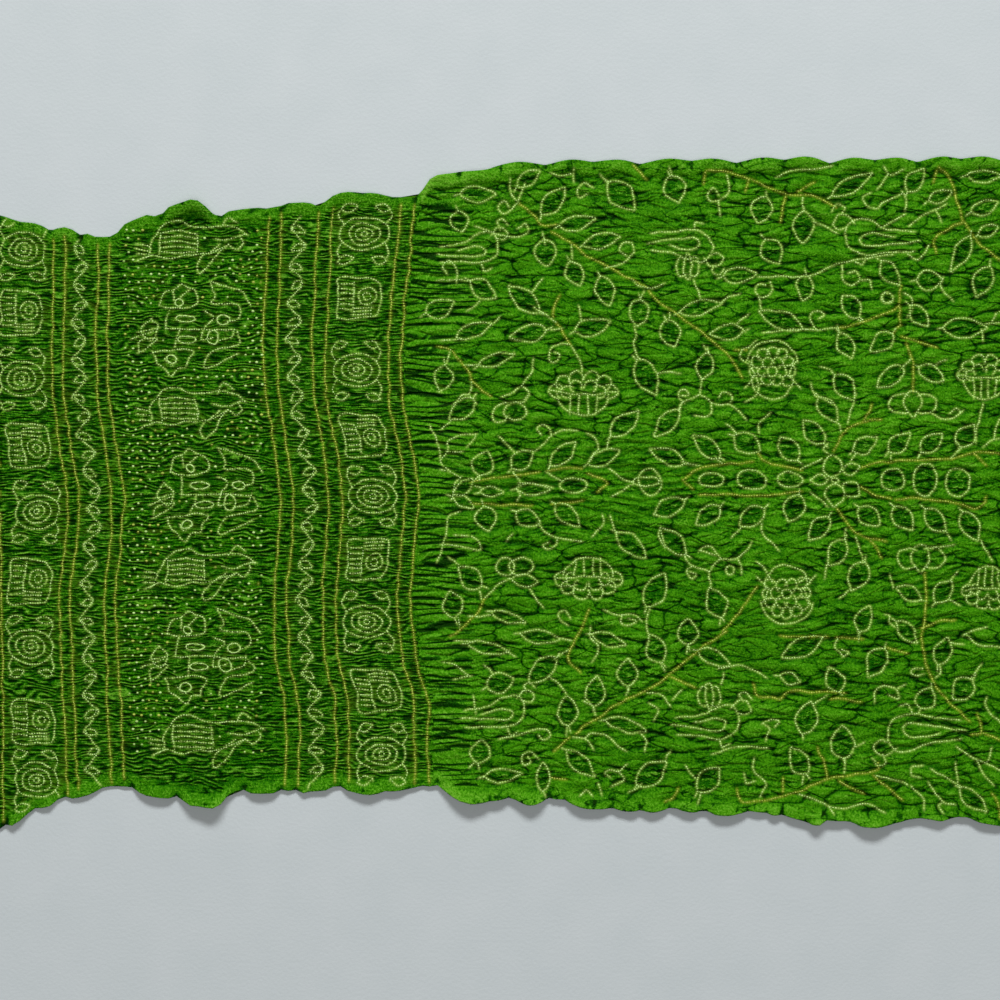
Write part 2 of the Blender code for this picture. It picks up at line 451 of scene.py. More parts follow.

# %% [markdown]
# ## The leafy field
# The field is a garden: leaves on winding stems, curled tendrils, opened lotuses, birds and a
# row of fruits along the middle. Its lower half mirrors the upper one, pulled about by the
# crinkle. Each figure below is a general one, set down at a given place, size and turn.

# %% Leaves: place, the way the tip points in degrees, length and width
Leaf = namedtuple("Leaf", "x y turn length width")
LEAVES = [Leaf(*row) for row in (
    (-22, 304, 0, 36, 15), (-40, 277, -80, 21, 20), (29, 320, 35, 26, 14), (53, 297, 50, 34, 17),
    (78, 276, 12, 36, 15), (45, 246, -85, 26, 22), (74, 225, -70, 26, 19), (101, 258, 14, 38, 13),
    (121, 303, -48, 38, 24), (174, 309, -70, 26, 24), (238, 224, 3, 34, 15), (260, 289, -110, 28, 22),
    (271, 247, -60, 28, 22), (302, 272, -92, 32, 22), (350, 314, 28, 46, 15), (388, 226, -50, 28, 17),
    (413, 318, 55, 28, 17), (438, 303, 25, 24, 12), (481, 322, 0, 34, 12), (482, 291, 20, 30, 14),
    (486, 268, 20, 22, 12), (459, 245, -118, 40, 16), (427, 219, 0, 26, 20), (480, 218, -112, 32, 20),
    (-17, 209, -35, 32, 18), (-60, 191, 22, 32, 18), (-26, 169, 22, 38, 15), (28, 165, 192, 38, 17),
    (24, 200, 138, 38, 20), (92, 172, 15, 36, 18), (-3, 140, 18, 36, 12), (-57, 121, -100, 27, 19),
    (104, 208, -72, 30, 19), (138, 186, -97, 28, 20), (146, 122, -62, 40, 22), (199, 191, 14, 42, 15),
    (170, 165, -72, 28, 20), (226, 167, 186, 34, 15), (204, 133, -103, 28, 18), (303, 211, -97, 26, 17),
    (279, 180, 158, 46, 17), (349, 193, 130, 27, 19), (380, 157, 222, 29, 18), (344, 154, -62, 28, 17),
    (343, 112, -55, 32, 19), (388, 123, 218, 34, 17), (326, 90, -55, 30, 17), (417, 183, -48, 28, 15),
    (463, 171, 0, 44, 20), (429, 126, -30, 28, 17), (-38, 90, 223, 32, 19), (-17, 36, 72, 26, 21),
    (22, 40, 35, 28, 18), (63, 46, 42, 34, 16), (103, 42, 22, 36, 15), (-36, 13, 42, 25, 12),
    (-36, -2, -28, 24, 12), (124, 76, 42, 38, 19), (166, 77, 228, 38, 17), (167, 43, 157, 38, 15),
    (206, 53, 140, 33, 17), (246, 56, -32, 30, 21), (287, 51, 128, 29, 19), (312, 67, 130, 30, 18),
    (363, 55, 32, 28, 17), (397, 57, 42, 28, 17), (429, 57, 45, 28, 18), (464, 64, 58, 28, 18),
    (33, 11, 0, 32, 12), (-8, 8, 0, 24, 10), (-14, -19, -78, 26, 21), (28, -18, -30, 27, 17),
    (67, -15, -42, 33, 16), (25, -80, -8, 27, 12), (-30, -77, 140, 30, 20), (-47, -104, 100, 27, 20),
    (8, -117, -18, 34, 11), (131, -45, -42, 40, 19), (168, -7, 205, 34, 17), (172, -41, 133, 36, 17),
    (207, -16, 215, 30, 17), (250, -17, 215, 30, 20), (215, -102, 112, 32, 20), (155, -90, 62, 38, 22),
    (187, -131, 92, 27, 21), (292, -8, -115, 30, 20), (317, -28, 228, 30, 18), (367, -16, -42, 28, 20),
    (401, -18, -50, 30, 19), (335, -53, 238, 32, 18), (356, -76, 245, 31, 21), (407, -93, 155, 28, 14),
    (441, -91, 50, 28, 18), (362, -118, 68, 26, 17), (468, -26, -60, 32, 19), (433, -20, -50, 30, 18),
    (-12, -147, -12, 42, 12), (40, -136, -8, 40, 13), (42, -169, 222, 36, 20), (0, -182, 15, 28, 19),
    (67, -210, 95, 30, 20), (95, -190, 80, 30, 20), (108, -139, -18, 34, 13), (127, -171, 85, 28, 19),
    (155, -148, 115, 30, 20), (213, -157, -25, 36, 14), (125, -224, -16, 42, 13), (300, -147, 205, 46, 18),
    (375, -161, 240, 32, 20), (333, -179, 112, 28, 18), (289, -178, -20, 20, 12), (305, -217, 75, 33, 22),
    (341, -241, 92, 34, 24), (405, -131, -45, 30, 15), (441, -150, 70, 28, 18), (424, -197, 60, 24, 20),
    (460, -188, 225, 28, 22), (-19, -250, 80, 24, 20), (3, -274, 6, 38, 14), (43, -275, 90, 28, 14),
    (80, -262, -42, 38, 15), (151, -272, 38, 38, 21), (208, -278, 48, 32, 22), (297, -260, 118, 32, 19),
    (470, -298, -42, 36, 17),
)]
for item in LEAVES:
    shape = put(leaf(item.length, item.width), item.x, item.y, item.turn)
    draw([handmade(line, 0.3) for line in shape])
print("leaves:", len(LEAVES))

# %% Stems and tendrils: a few places that each line passes through
CREAM_STEMS = """
12,290 5,285 -2,291 3,297 8,292 / 18,296 12,290 / 18,296 12,303 10,318 / 18,296 20,303 25,313 / -43,218
-44,228 -50,238 -57,232 -53,225 / -23,271 0,263 20,262 29,268 26,275 19,271 / -60,218 -45,219 -30,217 /
92,311 84,315 77,309 80,301 87,304 / 133,247 122,235 105,231 / 133,247 131,256 123,256 119,249 125,244 /
218,299 229,308 226,322 / 217,298 220,284 / 217,298 210,297 206,304 212,310 217,305 / 52,325 59,323
70,325 / 380,295 400,304 / 380,295 374,289 365,292 362,300 368,305 / 340,233 342,219 350,214 358,220
354,228 348,226 / 360,219 368,218 370,211 / 73,318 73,328 / 276,322 290,327 310,328 330,332 / 258,222
280,222 305,222 325,231 342,237 365,240 390,244 / 382,330 389,323 400,327 / 376,310 386,323 / 401,306
404,298 403,290 / 380,272 401,283 / 408,273 422,283 443,294 / 433,287 439,277 / 405,245 410,241 417,240
427,252 / 43,265 44,256 / 71,253 71,240 / 100,323 108,315 / 168,329 171,322 / 301,300 302,288 / 312,276
335,267 / 163,215 155,212 148,211 137,214 130,220 / -21,198 -26,193 -32,189 / -6,177 -1,181 / -40,160
-58,159 / 46,169 60,170 / 33,207 37,213 42,219 / 34,192 44,185 55,177 / 70,154 62,155 53,152 49,146
51,139 57,139 59,145 55,147 / 70,154 77,144 80,136 81,128 / 78,193 80,185 81,179 / -20,135 -36,135 /
-50,149 -51,142 -53,135 / -28,118 -28,112 -30,105 -38,104 -47,96 / -30,105 -25,97 / 34,138 32,128 27,121
22,113 / 22,113 30,106 25,100 / 22,113 12,107 3,103 / 143,207 140,200 / 134,172 135,165 133,158 134,150
139,140 / 157,126 166,127 178,126 / 218,196 228,202 237,205 / 199,199 198,208 194,218 / 168,186 168,178
/ 235,175 246,184 / 204,153 207,148 / 201,120 199,105 / 199,105 192,102 183,97 179,90 / 199,105 205,101
211,96 / 183,97 179,103 180,109 186,110 188,105 183,104 / 229,95 231,101 228,106 221,107 218,103 /
255,158 248,152 241,150 240,142 248,134 253,127 258,115 256,104 246,98 / 269,217 271,210 268,204 261,202
255,207 257,214 264,214 / 258,202 260,191 / 262,167 280,169 300,171 320,170 337,171 / 313,171 309,179
310,186 317,188 323,185 318,182 / 354,182 361,178 / 389,205 383,205 380,200 384,196 390,199 / 404,205
410,200 410,192 406,184 / 338,166 336,172 / 320,132 328,130 333,125 / 400,132 409,141 / 309,115 311,108
314,103 322,101 330,96 / 332,78 337,75 339,69 / 432,134 438,137 443,138 / 440,220 439,210 450,199 /
479,168 480,159 / 490,178 492,185 497,188 / 485,175 497,176 / -49,78 -57,70 / 30,104 24,98 12,97 3,97
-5,92 -8,85 -5,78 3,78 7,83 / -69,72 -63,60 -60,45 -59,38 -54,32 -40,22 / -58,30 -50,29 / -59,40 -52,50
-52,57 -40,64 -25,66 / -25,66 -26,60 -31,54 / -52,48 -45,48 -38,49 / -21,24 -26,19 / -40,22 -46,16 -46,5
/ -25,14 -18,12 / 0,63 8,55 14,48 / 35,49 42,55 50,63 62,69 76,69 / 51,65 49,71 43,74 37,70 40,66 /
14,29 12,27 20,18 17,11 20,5 17,-1 / 87,65 94,61 98,52 93,46 88,38 / 47,28 55,23 62,19 / 20,17 38,16
50,13 / 110,64 108,58 107,52 / 183,37 190,35 198,34 / 178,90 183,98 / 211,96 220,94 229,95 238,88 244,81
/ 211,96 210,88 205,83 196,84 / 226,74 231,71 235,67 / 216,42 221,36 / 131,18 120,22 110,30 / 132,15
122,10 112,4 / 258,67 259,78 268,86 / 325,55 322,50 326,47 / 345,78 348,88 354,104 / 354,45 350,40 /
388,47 388,42 / 419,47 416,43 / 458,51 448,41 / 473,58 474,70 480,94 / 482,53 490,60 497,62 / 491,62
493,72 497,80 / 428,87 440,81 451,81 460,88 / 458,88 454,91 448,87 / -42,-12 -51,-18 -55,-38 -62,-60 /
-44,-35 -33,-36 / -58,-45 -40,-46 -21,-50 -21,-42 -28,-36 / 38,-24 48,-33 58,-38 80,-41 / 57,-38 55,-45
47,-50 42,-46 47,-43 / 8,-40 12,-35 / 30,-88 36,-98 43,-106 / 5,-80 -3,-84 -14,-97 / -50,-58 -42,-65 /
-20,-92 -18,-98 / -41,-117 -40,-126 / -30,-116 -9,-115 / 60,-138 72,-139 / 70,-117 66,-111 60,-112
59,-118 67,-124 / 102,-17 102,-25 92,-35 / 110,-17 115,-32 / 159,-28 158,-36 165,-48 / 185,-50 183,-56
190,-64 208,-71 / 190,-66 186,-72 190,-79 196,-75 191,-73 / 239,-28 232,-36 / 200,-50 204,-46 211,-47
218,-58 / 201,-50 213,-55 / 208,-71 218,-59 234,-59 246,-50 250,-43 / 236,-59 240,-66 240,-72 / 208,-71
209,-78 210,-86 / 220,-117 219,-123 / 150,-107 147,-115 146,-122 149,-136 / 105,-111 120,-115 134,-114
141,-120 / 121,-116 121,-123 128,-125 135,-120 129,-118 / 187,-144 186,-150 / 261,-24 262,-33 276,-49 /
344,-30 343,-38 / 325,-66 323,-77 / 354,-39 359,-52 361,-63 / 348,-89 338,-97 / 426,-50 443,-46 450,-45
/ 388,-76 389,-80 391,-87 / 385,-114 388,-115 387,-121 391,-126 / 450,-79 454,-73 / 448,-100 456,-104 /
358,-131 357,-138 / 255,-62 264,-69 271,-80 / 298,-82 305,-79 309,-82 305,-86 / 462,-135 471,-130
483,-127 / 479,-41 484,-50 489,-59 / 444,-33 448,-38 / -28,-141 -43,-140 / 6,-151 14,-155 / 54,-158
68,-149 / 50,-176 58,-182 64,-192 / -15,-165 -6,-174 / -55,-162 -45,-165 -30,-175 / -45,-177 -30,-175 /
-26,-196 -24,-210 / 67,-224 66,-232 / 85,-201 92,-205 95,-213 / 90,-127 90,-137 97,-144 97,-152 93,-159
/ 0,-238 12,-235 35,-228 47,-229 51,-235 44,-238 40,-234 / 127,-186 126,-195 / 160,-163 163,-170 /
218,-167 240,-164 256,-172 264,-176 / 222,-173 220,-182 / 141,-233 145,-240 144,-248 / 147,-192 160,-194
169,-204 / 150,-203 158,-208 153,-218 / 172,-198 180,-190 / 85,-236 92,-232 108,-236 118,-246 124,-250 /
73,-236 86,-238 93,-247 / 336,-138 333,-146 340,-154 / 340,-149 347,-152 342,-156 / 312,-203 324,-196 /
372,-201 373,-191 383,-185 394,-189 396,-198 388,-195 / 396,-188 402,-185 / 354,-246 360,-241 / 343,-258
343,-270 / 262,-222 270,-219 277,-221 274,-226 / 262,-222 268,-229 265,-238 / 449,-142 460,-144 /
438,-163 439,-170 434,-175 / 420,-167 412,-167 409,-171 414,-175 420,-173 / 469,-176 479,-165 / 463,-134
477,-145 497,-146 / 484,-198 484,-207 498,-221 / 430,-183 431,-192 / 38,-256 30,-251 22,-255 24,-263
31,-261 28,-256 / -24,-260 -30,-265 / 80,-293 86,-289 91,-293 / 98,-284 101,-292 / 126,-264 118,-269
109,-268 104,-272 108,-276 / 118,-269 123,-277 112,-285 / 166,-257 169,-250 / 140,-284 130,-290 /
185,-266 194,-276 / 201,-291 197,-301 / 212,-252 230,-247 250,-246 265,-247 / 252,-258 253,-270 264,-281
259,-295 / 242,-274 245,-281 252,-279 / 302,-274 301,-282 / 298,-293 318,-300 340,-307 363,-302 381,-310
/ 329,-305 332,-311 / 375,-275 398,-279 405,-283 / 419,-264 411,-266 410,-273 417,-276 / 410,-285
420,-297 422,-307 / 426,-282 441,-300 450,-303 / 441,-300 436,-305 439,-311 / 430,-268 450,-280 457,-284
/ 455,-283 453,-263 / 455,-246 473,-257 497,-269 / 473,-257 480,-272 490,-282 / 489,-248 484,-261
"""
MUSTARD_STEMS = """
18,296 34,283 42,274 58,273 / 52,266 72,254 90,240 115,228 145,212 / 203,316 207,328 240,322 283,305
310,303 335,291 / 245,308 247,318 / 297,308 312,316 / 284,302 278,278 / 133,331 145,319 / 437,330
448,320 457,287 475,258 497,238 / 460,276 434,262 434,247 / 432,317 434,327 / 58,202 54,193 53,182 /
56,176 65,162 70,154 / -61,154 -50,149 -33,130 -28,120 / -28,120 -18,110 -10,103 / 148,208 160,195
173,187 190,174 203,166 / 203,166 228,144 240,122 / 337,171 357,177 380,184 396,193 / 399,214 397,195
398,174 / 398,174 391,167 / 400,163 412,159 434,152 / 404,156 411,135 412,108 / -28,18 0,22 38,28 /
47,29 65,32 80,31 / 88,27 105,19 106,15 98,8 / 183,20 200,32 220,35 251,37 / 183,20 191,12 / 332,50
340,64 352,75 378,80 / 362,79 370,94 / 257,46 266,37 300,30 / 358,31 372,36 390,39 430,40 450,41 /
450,41 475,47 498,46 / 472,45 483,35 / -26,-4 0,-5 30,-5 / 52,-4 65,-3 82,-1 / 200,5 230,5 260,4 300,9 /
360,13 373,5 388,2 / 395,1 418,1 450,-2 470,-8 478,-5 484,3 / -14,-97 -26,-116 -40,-130 -48,-135 /
88,-110 80,-130 70,-148 69,-160 79,-171 / 254,-86 243,-104 232,-120 221,-131 / 336,-10 347,-24 358,-35
382,-41 / 370,-41 379,-56 / 423,-72 424,-98 422,-120 420,-142 424,-165 440,-193 467,-219 / 420,-128
436,-121 451,-119 / 75,-232 97,-217 113,-204 / 113,-204 135,-195 162,-180 178,-165 205,-144 225,-131 /
55,-250 68,-237 / 172,-176 193,-187 / 280,-136 300,-136 325,-136 / 335,-136 360,-138 / 384,-146 405,-153
/ 252,-184 256,-194 278,-199 / 278,-199 292,-190 342,-193 / 330,-198 358,-200 / 475,-213 480,-230
470,-233 / 482,-231 498,-240 / 50,-275 64,-278 / 165,-300 172,-297 178,-288 / 236,-288 240,-300 262,-299
297,-291 328,-277 372,-270 376,-262 / 282,-290 282,-278 / 325,-277 323,-262 316,-247 / 338,-280 360,-291
/ 372,-275 400,-297 / 489,-293 496,-302 497,-315 / 235,150 245,149
"""


for text, dye_of_text in ((CREAM_STEMS, CREAM), (MUSTARD_STEMS, MUSTARD)):
    stems = ways(text)
    draw([handmade(smooth_line(stem), 0.2) for stem in stems], dye_of_text)
    print("stems:", len(stems))

# %% Fruits, lotuses, tulips and birds
Fruit = namedtuple("Fruit", "x y rx ry")
FRUITS = [Fruit(*row) for row in (
    (73, 15, 13, 7), (149, 18, 11, 13), (145, 18, 13, 5), (210, 20, 13, 7), (250, 20, 14, 10),
    (288, 20, 13, 7.5), (391, 20, 12, 11), (423, 20, 12, 16), (456, 18, 12, 14), (15, 88, 11, 9),
    (5, -66, 9, 9), (21, -66, 12, 8.5), (229, -70, 4, 4), (386, 201, 5, 5),
)]
for fruit in FRUITS:
    draw([handmade(line, 0.35) for line in put([ring(fruit.rx, fruit.ry)], fruit.x, fruit.y)])


def arch(x, y, rx, ry, start, end):
    """Part of an oval's line, between two directions in degrees."""
    t = np.radians(np.linspace(start, end, 15))
    return np.column_stack([x + rx * np.cos(t), y + ry * np.sin(t)])


def fan(rx, ry, count, start, end, size):
    """Round petals side by side along an oval."""
    middles = np.linspace(start, end, count)
    out = []
    for a in middles:
        x, y = rx * math.cos(math.radians(a)), ry * math.sin(math.radians(a))
        out.append(arch(x, y, size, size, a - 115, a + 115))
    return out


def lotus(half_x, half_y):
    """An opened lotus from the side: two rows of petals over a bowl with upright bars."""
    out = fan(half_x * 0.8, half_y * 0.72, 6, 8, 172, half_x * 0.22)
    out += fan(half_x * 0.5, half_y * 0.34, 4, 12, 168, half_x * 0.19)
    out.append(arch(0, 0, half_x * 0.78, half_y * 0.98, 184, 356))
    brim = np.array([(-0.95, 0.1), (-0.3, -0.04), (0.3, -0.04), (0.95, 0.1)])
    out.append(brim * (half_x, half_y))
    for k in (-0.42, -0.15, 0.15, 0.42):
        out.append(np.array([(half_x * k, -half_y * 0.14), (half_x * k * 0.9, -half_y * 0.86)]))
    return [handmade(line, 0.4) for line in out]


def bloom(half_x, half_y):
    """A round lotus from above: rings of petals round a small ring, and two reaching lines."""
    out = [ring(half_x * 0.17, half_y * 0.15)]
    out += fan(half_x * 0.34, half_y * 0.3, 6, 0, 300, half_x * 0.2)
    out += fan(half_x * 0.66, half_y * 0.62, 9, -30, 210, half_x * 0.2)
    out.append(arch(0, half_y * 0.1, half_x * 0.95, half_y * 0.9, 15, 165))
    out.append(arch(0, -half_y * 0.1, half_x * 0.8, half_y * 0.8, 195, 345))
    reach = np.array([(0.85, 0.3), (0.6, -0.15), (1.0, -0.5)])
    out += [reach * (side * half_x, half_y) for side in (-1, 1)]
    return [handmade(line, 0.4) for line in out]


def tulip(half_x, half_y):
    """Three arches side by side on one stem, the middle one in front."""
    out = [arch(-half_x * 0.5, 0, half_x * 0.52, half_y * 0.8, 60, 300)]
    out.append(arch(half_x * 0.5, 0, half_x * 0.52, half_y * 0.8, -120, 120))
    middle = np.array([(-0.1, -1), (-0.4, 0), (-0.2, 0.9), (0.2, 0.9), (0.35, 0), (0.05, -1)])
    out.append(smooth_line(middle * (half_x, half_y)))
    return [handmade(line, 0.4) for line in out]


def bird(long):
    """A bird that faces right: a round body, a looped wing, a crested head and three tail feathers."""
    outline = [(-0.45, 0.10), (-0.15, 0.14), (0.08, 0.24), (0.24, 0.24), (0.33, 0.10),
               (0.28, -0.08), (0.08, -0.17), (-0.15, -0.14), (-0.45, -0.12)]
    wing = [(-0.22, 0.04), (0.02, 0.09), (0.16, 0.03), (0.10, -0.06), (-0.12, -0.05), (-0.5, 0.0)]
    head = [(0.24, 0.22), (0.32, 0.30), (0.42, 0.29), (0.47, 0.20), (0.40, 0.14), (0.33, 0.16)]
    crest = [(0.37, 0.30), (0.34, 0.38), (0.42, 0.41), (0.47, 0.35)]
    foot = [(0.08, -0.17), (0.12, -0.27), (0.20, -0.25)]
    return [handmade(smooth_line(part) * long, 0.35) for part in (outline, wing, head, crest, foot)]


Figure = namedtuple("Figure", "shape x y turn flip")
FIGURES = (
    Figure(lotus(33, 22), 83, 106, 0, 1), Figure(lotus(33, 21), 88, -77, 0, -1),
    Figure(bloom(27, 31), 271, 128, 0, 1), Figure(bloom(28, 31), 285, -93, 0, -1),
    Figure(lotus(27, 23), 482, 122, 0, 1), Figure(lotus(26, 22), 486, -88, 0, -1),
    Figure(tulip(23, 12), 411, 96, 0, 1), Figure(tulip(23, 13), 419, -58, 0, 1),
    Figure(tulip(11, 12), 208, -195, 0, 1), Figure(tulip(11, 12), 187, 232, 0, -1),
    Figure(bird(72), -25, 247, 4, 1), Figure(bird(76), 0, -214, 4, 1),
    Figure(bird(76), 186, 256, 0, -1), Figure(bird(78), 212, -224, 0, 1),
    Figure(bird(86), 372, 258, 180, -1), Figure(bird(92), 416, -228, 178, 1),
)
for figure in FIGURES:
    draw(put(figure.shape, figure.x, figure.y, figure.turn, flip=figure.flip))

PETALS = [Leaf(*row) for row in (
    (331, 34, 88, 22, 20), (350, 31, 12, 16, 12), (350, 10, -35, 20, 15), (333, 5, -92, 22, 20),
    (318, 20, 180, 18, 10),
)]
for petal in PETALS:
    shape = put(leaf(petal.length, petal.width, 0), petal.x, petal.y, petal.turn)
    draw([handmade(line, 0.3) for line in shape])
HEART = (334, 20)
heart = [ring(3, 3)]
heart.append(smooth_line([(-34, 11), (-24, 16), (-14, 20)]))
heart.append(smooth_line([(-24, -13), (-16, -20), (-9, -25)]))
draw(put(heart, *HEART))
print("lines with the field:", len(lines))

# %% [markdown]
# ## Figures in the second band
# Small elephants with striped blankets stand one over another, with flowers between them, on a
# ground of single ties. The ground is drawn first as a grid of lone dots, and the dots that would
# touch a figure are left out.

# %% Elephants, flowers and single ties
ELEPHANT = ways("""
-42,0 -40,6 -32,18 -24,24 -12,25 -2,20 14,19 30,21 44,18 54,12 /
-52,-14 -39,-9 -24,-12 -8,-8 3,-9 20,-5 36,2 /
36,2 26,-6 18,-18 8,-26 5,-19 12,-9 26,1 / 22,8 34,6 48,11 54,12 / 36,2 44,-2 50,4 48,10 / 28,20 34,28 42,24 /
-54,3 -42,0 -42,-6 / -54,-2 -44,-4 / -53,-8 -43,-8 / -52,-14 -40,-9 / -30,14 -16,16 2,13 / -30,9 -12,10 4,8 /
-31,4 -14,5 4,3 / -31,-1 -14,0 3,-2 / -30,-6 -14,-5 2,-6 / -32,14 -32,-8 / 4,13 5,-6
""")
FLOWERS = ways("""
-31,-59 -26,-46 -17,-43 -10,-37 -2,-41 6,-45 7,-56 -5,-61 -20,-62 -31,-59 / -17,-43 -17,-54 / -10,-50 -2,-44 /
-39,-71 -48,-83 -38,-93 -32,-80 -39,-71 / -32,-82 -50,-86 / -24,-82 15,-82 45,-83 / -56,-92 -36,-85 /
16,-64 25,-69 17,-78 12,-92 24,-90 / 45,-83 42,-90 30,-94 / 20,-35 38,-41 52,-46 60,-58 /
20,-37 25,-49 23,-56 44,-57 50,-61 49,-70 38,-75 / 48,-86 50,-97 23,-104 17,-121 47,-108 /
-36,-105 -22,-103 -9,-101 4,-104 -2,-112 -4,-120 -12,-121 -18,-128 -26,-120 -32,-116 -36,-105 /
-50,-105 -49,-94 -32,-91 -44,-102 -50,-105 / -20,-64 -24,-82 / -10,-84 -14,-98 / -24,-112 -18,-118 -12,-112
""")
OVALS = [Fruit(*row) for row in (
    (-11, -56, 4, 4), (-2, -92, 9, 3.5), (34, -73, 6, 4.5), (-4, -72, 9, 3), (24, -90, 6, 7),
    (-17, -112, 5, 4),
)]
FIGURE_X = -308.0
GROUPS = ((252, True), (87, True), (-74, True), (-240, False))
for y, with_flowers in GROUPS:
    shape = list(ELEPHANT)
    if with_flowers:
        shape += FLOWERS + [put([ring(oval.rx, oval.ry)], oval.x, oval.y)[0] for oval in OVALS]
    for line in put(shape, FIGURE_X, y):
        draw([handmade(drifted(smooth_line(line)), 0.3)])

FIGURE_REACH = 80.0  # no figure's line reaches further from the band's middle, mm
CELL = 4  # the grid that tells whether a line is near, mm
SINGLES_FROM = (-373, 268)
SINGLES_APART = (8.2, 7.3)
MUSTARD_SHARE = 0.25
drawn = np.vstack([np.column_stack([line.x, line.y]) for line in lines
                   if abs(np.mean(line.x) - FIGURE_X) < FIGURE_REACH])
near_drawn = {(int(x // CELL), int(y // CELL)) for x, y in drawn}
singles = []
scatter = random.Random(23)
for column in range(17):
    for row in range(72):
        x = SINGLES_FROM[0] + column * SINGLES_APART[0] + (row % 2) * 4.1 + scatter.uniform(-0.9, 0.9)
        y = SINGLES_FROM[1] - row * SINGLES_APART[1] + scatter.uniform(-0.7, 0.7)
        c, r = int(x // CELL), int(y // CELL)
        if not any((c + i, r + j) in near_drawn for i in (-1, 0, 1) for j in (-1, 0, 1)):
            singles.append((x, y, scatter.random() < MUSTARD_SHARE))
print("figures:", len(GROUPS), "single ties:", len(singles))

# %% [markdown]
# ## Dots along the lines
# Each line is stepped at the knot's pitch. A dot keeps its place, the direction of its line, how
# far its pale colour runs along the line (a lone dot's runs no further than it is wide), and its
# dye. Then the crinkle pushes every dot a little out of its line.

# %% Stepping the lines into dots
IN_A_LINE, ALONE = 1.0, 2.7  # a distance along the line counts that many times
dot_rows = []
for line in lines:
    p = np.column_stack([line.x, line.y])
    run = np.concatenate([[0.0], np.cumsum(np.hypot(*np.diff(p, axis=0).T))])
    count = max(2, int(round(run[-1] / PITCH)) + 1)
    at = np.linspace(0, run[-1], count)
    px, py = np.interp(at, run, p[:, 0]), np.interp(at, run, p[:, 1])
    tx, ty = np.gradient(px), np.gradient(py)
    long = np.maximum(np.hypot(tx, ty), 1e-6)
    for k in range(count):
        dot_rows.append((px[k], py[k], tx[k] / long[k], ty[k] / long[k], IN_A_LINE, line.dye))
dot_rows += [(x, y, 1.0, 0.0, ALONE, MUSTARD if dark else CREAM) for x, y, dark in singles]
dots = np.array(dot_rows)
PUSH = 1.1  # how far the crinkle pushes a dot, at most, mm
for axis, along, across, seed in ((0, 4.0, 3.0, 51), (1, 5.0, 3.0, 52)):
    dots[:, axis] += PUSH * np.clip(read(patchy(along, across, seed), *dots[:, :2].T), -1, 1)
over_cloth = (dots[:, 1] < np.interp(dots[:, 0], edge_x, edge_far) - 3) & (
    dots[:, 1] > np.interp(dots[:, 0], edge_x, edge_near) + 3)
over_cloth &= np.abs(dots[:, 0]) < ends[1] - 1.5
dots = dots[over_cloth]
print("dots:", len(dots))

# %% [markdown]
# ## How near the tying is
# Every cell of the ground learns its nearest dot. The silk is pulled in along a tied line and
# stands up between lines, so this distance shapes both the folds and the colour.

# %% Nearest dot and how close together the dots are
REACH = 14
nearest = np.full(X.shape, float(REACH))
owner = np.zeros(X.shape, int)
crowd = np.zeros(X.shape)
for number, (x, y) in enumerate(dots[:, :2]):
    c, r = int(round(x)) + GROUND_X, int(round(y)) + GROUND_Y
    window = (slice(max(r - REACH, 0), r + REACH + 1), slice(max(c - REACH, 0), c + REACH + 1))
    away = np.hypot(X[window] - x, Y[window] - y)
    closer = away < nearest[window]
    nearest[window][closer] = away[closer]
    owner[window][closer] = number
    if 0 <= r < crowd.shape[0] and 0 <= c < crowd.shape[1]:
        crowd[r, c] += 1.0
crowd = blur(crowd, 7.0)
print("dots to a square centimetre, at most:", round(crowd.max() * 100, 1))

# %% [markdown]
# ## Pleats
# Tied silk gathers into pleats that run, fork and die out. A good imitation is a sum of many
# short waves, each with its own place, pitch and direction: the sum is read only for its phase,
# and the phase is turned into a pleat with a round crest and a sharp trough.

# %% Pleats from a sum of short waves
def pleated(pitch, turn, along, across, step_x, step_y, seed):
    """Pleats of that pitch and direction (fields), from 0 in a trough to 1 on a crest."""
    rng = np.random.default_rng(seed)
    total = np.zeros(X.shape, complex)
    half_x, half_y = int(2 * along), int(2 * max(across, along * 0.35))
    for cx in np.arange(-GROUND_X, GROUND_X, step_x):
        for cy in np.arange(-GROUND_Y, GROUND_Y, step_y):
            x, y = cx + rng.uniform(0, step_x), cy + rng.uniform(0, step_y)
            c, r = int(x) + GROUND_X, int(y) + GROUND_Y
            if not (0 <= c < X.shape[1] and 0 <= r < X.shape[0]):
                continue
            window = (slice(max(r - half_y, 0), r + half_y), slice(max(c - half_x, 0), c + half_x))
            a = turn[r, c]
            dx, dy = X[window] - x, Y[window] - y
            u, v = dx * math.cos(a) + dy * math.sin(a), dy * math.cos(a) - dx * math.sin(a)
            wave = 2j * math.pi * v / pitch[r, c] + 1j * rng.uniform(0, 2 * math.pi)
            total[window] += np.exp(wave - (u / along) ** 2 - (v / across) ** 2)
    return np.abs(np.cos(np.angle(total) / 2))


in_field = soft_step(X, -40, -10)  # 0 over the bands, 1 over the leafy field
in_gather = soft_step(X, -84, -72) * (1 - soft_step(X, -42, -22))
drawn_x = X - drift(X - drift(X, Y), Y)  # where each place lies on the drawing of the bands
on_bands = soft_step(drawn_x, -92, -99)
on_figures = soft_step(drawn_x, -384, -372) * soft_step(drawn_x, -212, -228)
gathered = (1 - on_bands) * soft_step(X, -8, -50)
near_middle = in_field * np.exp(-(((Y - 12) / 42) ** 2))  # the row of fruits, pleated all along
calm = in_field * soft_step(crowd * 100, 2.8, 1.0) * (1 - near_middle)  # wide open silk
open_silk = 1 - np.exp(-((nearest / 6.5) ** 2))
pitch = 5.0 + in_field * (3.4 + 4.0 * calm) + 3.0 * in_gather
pitch = pitch * np.exp(0.25 * patchy(26, 12, 3) * (0.3 + 0.7 * in_field))
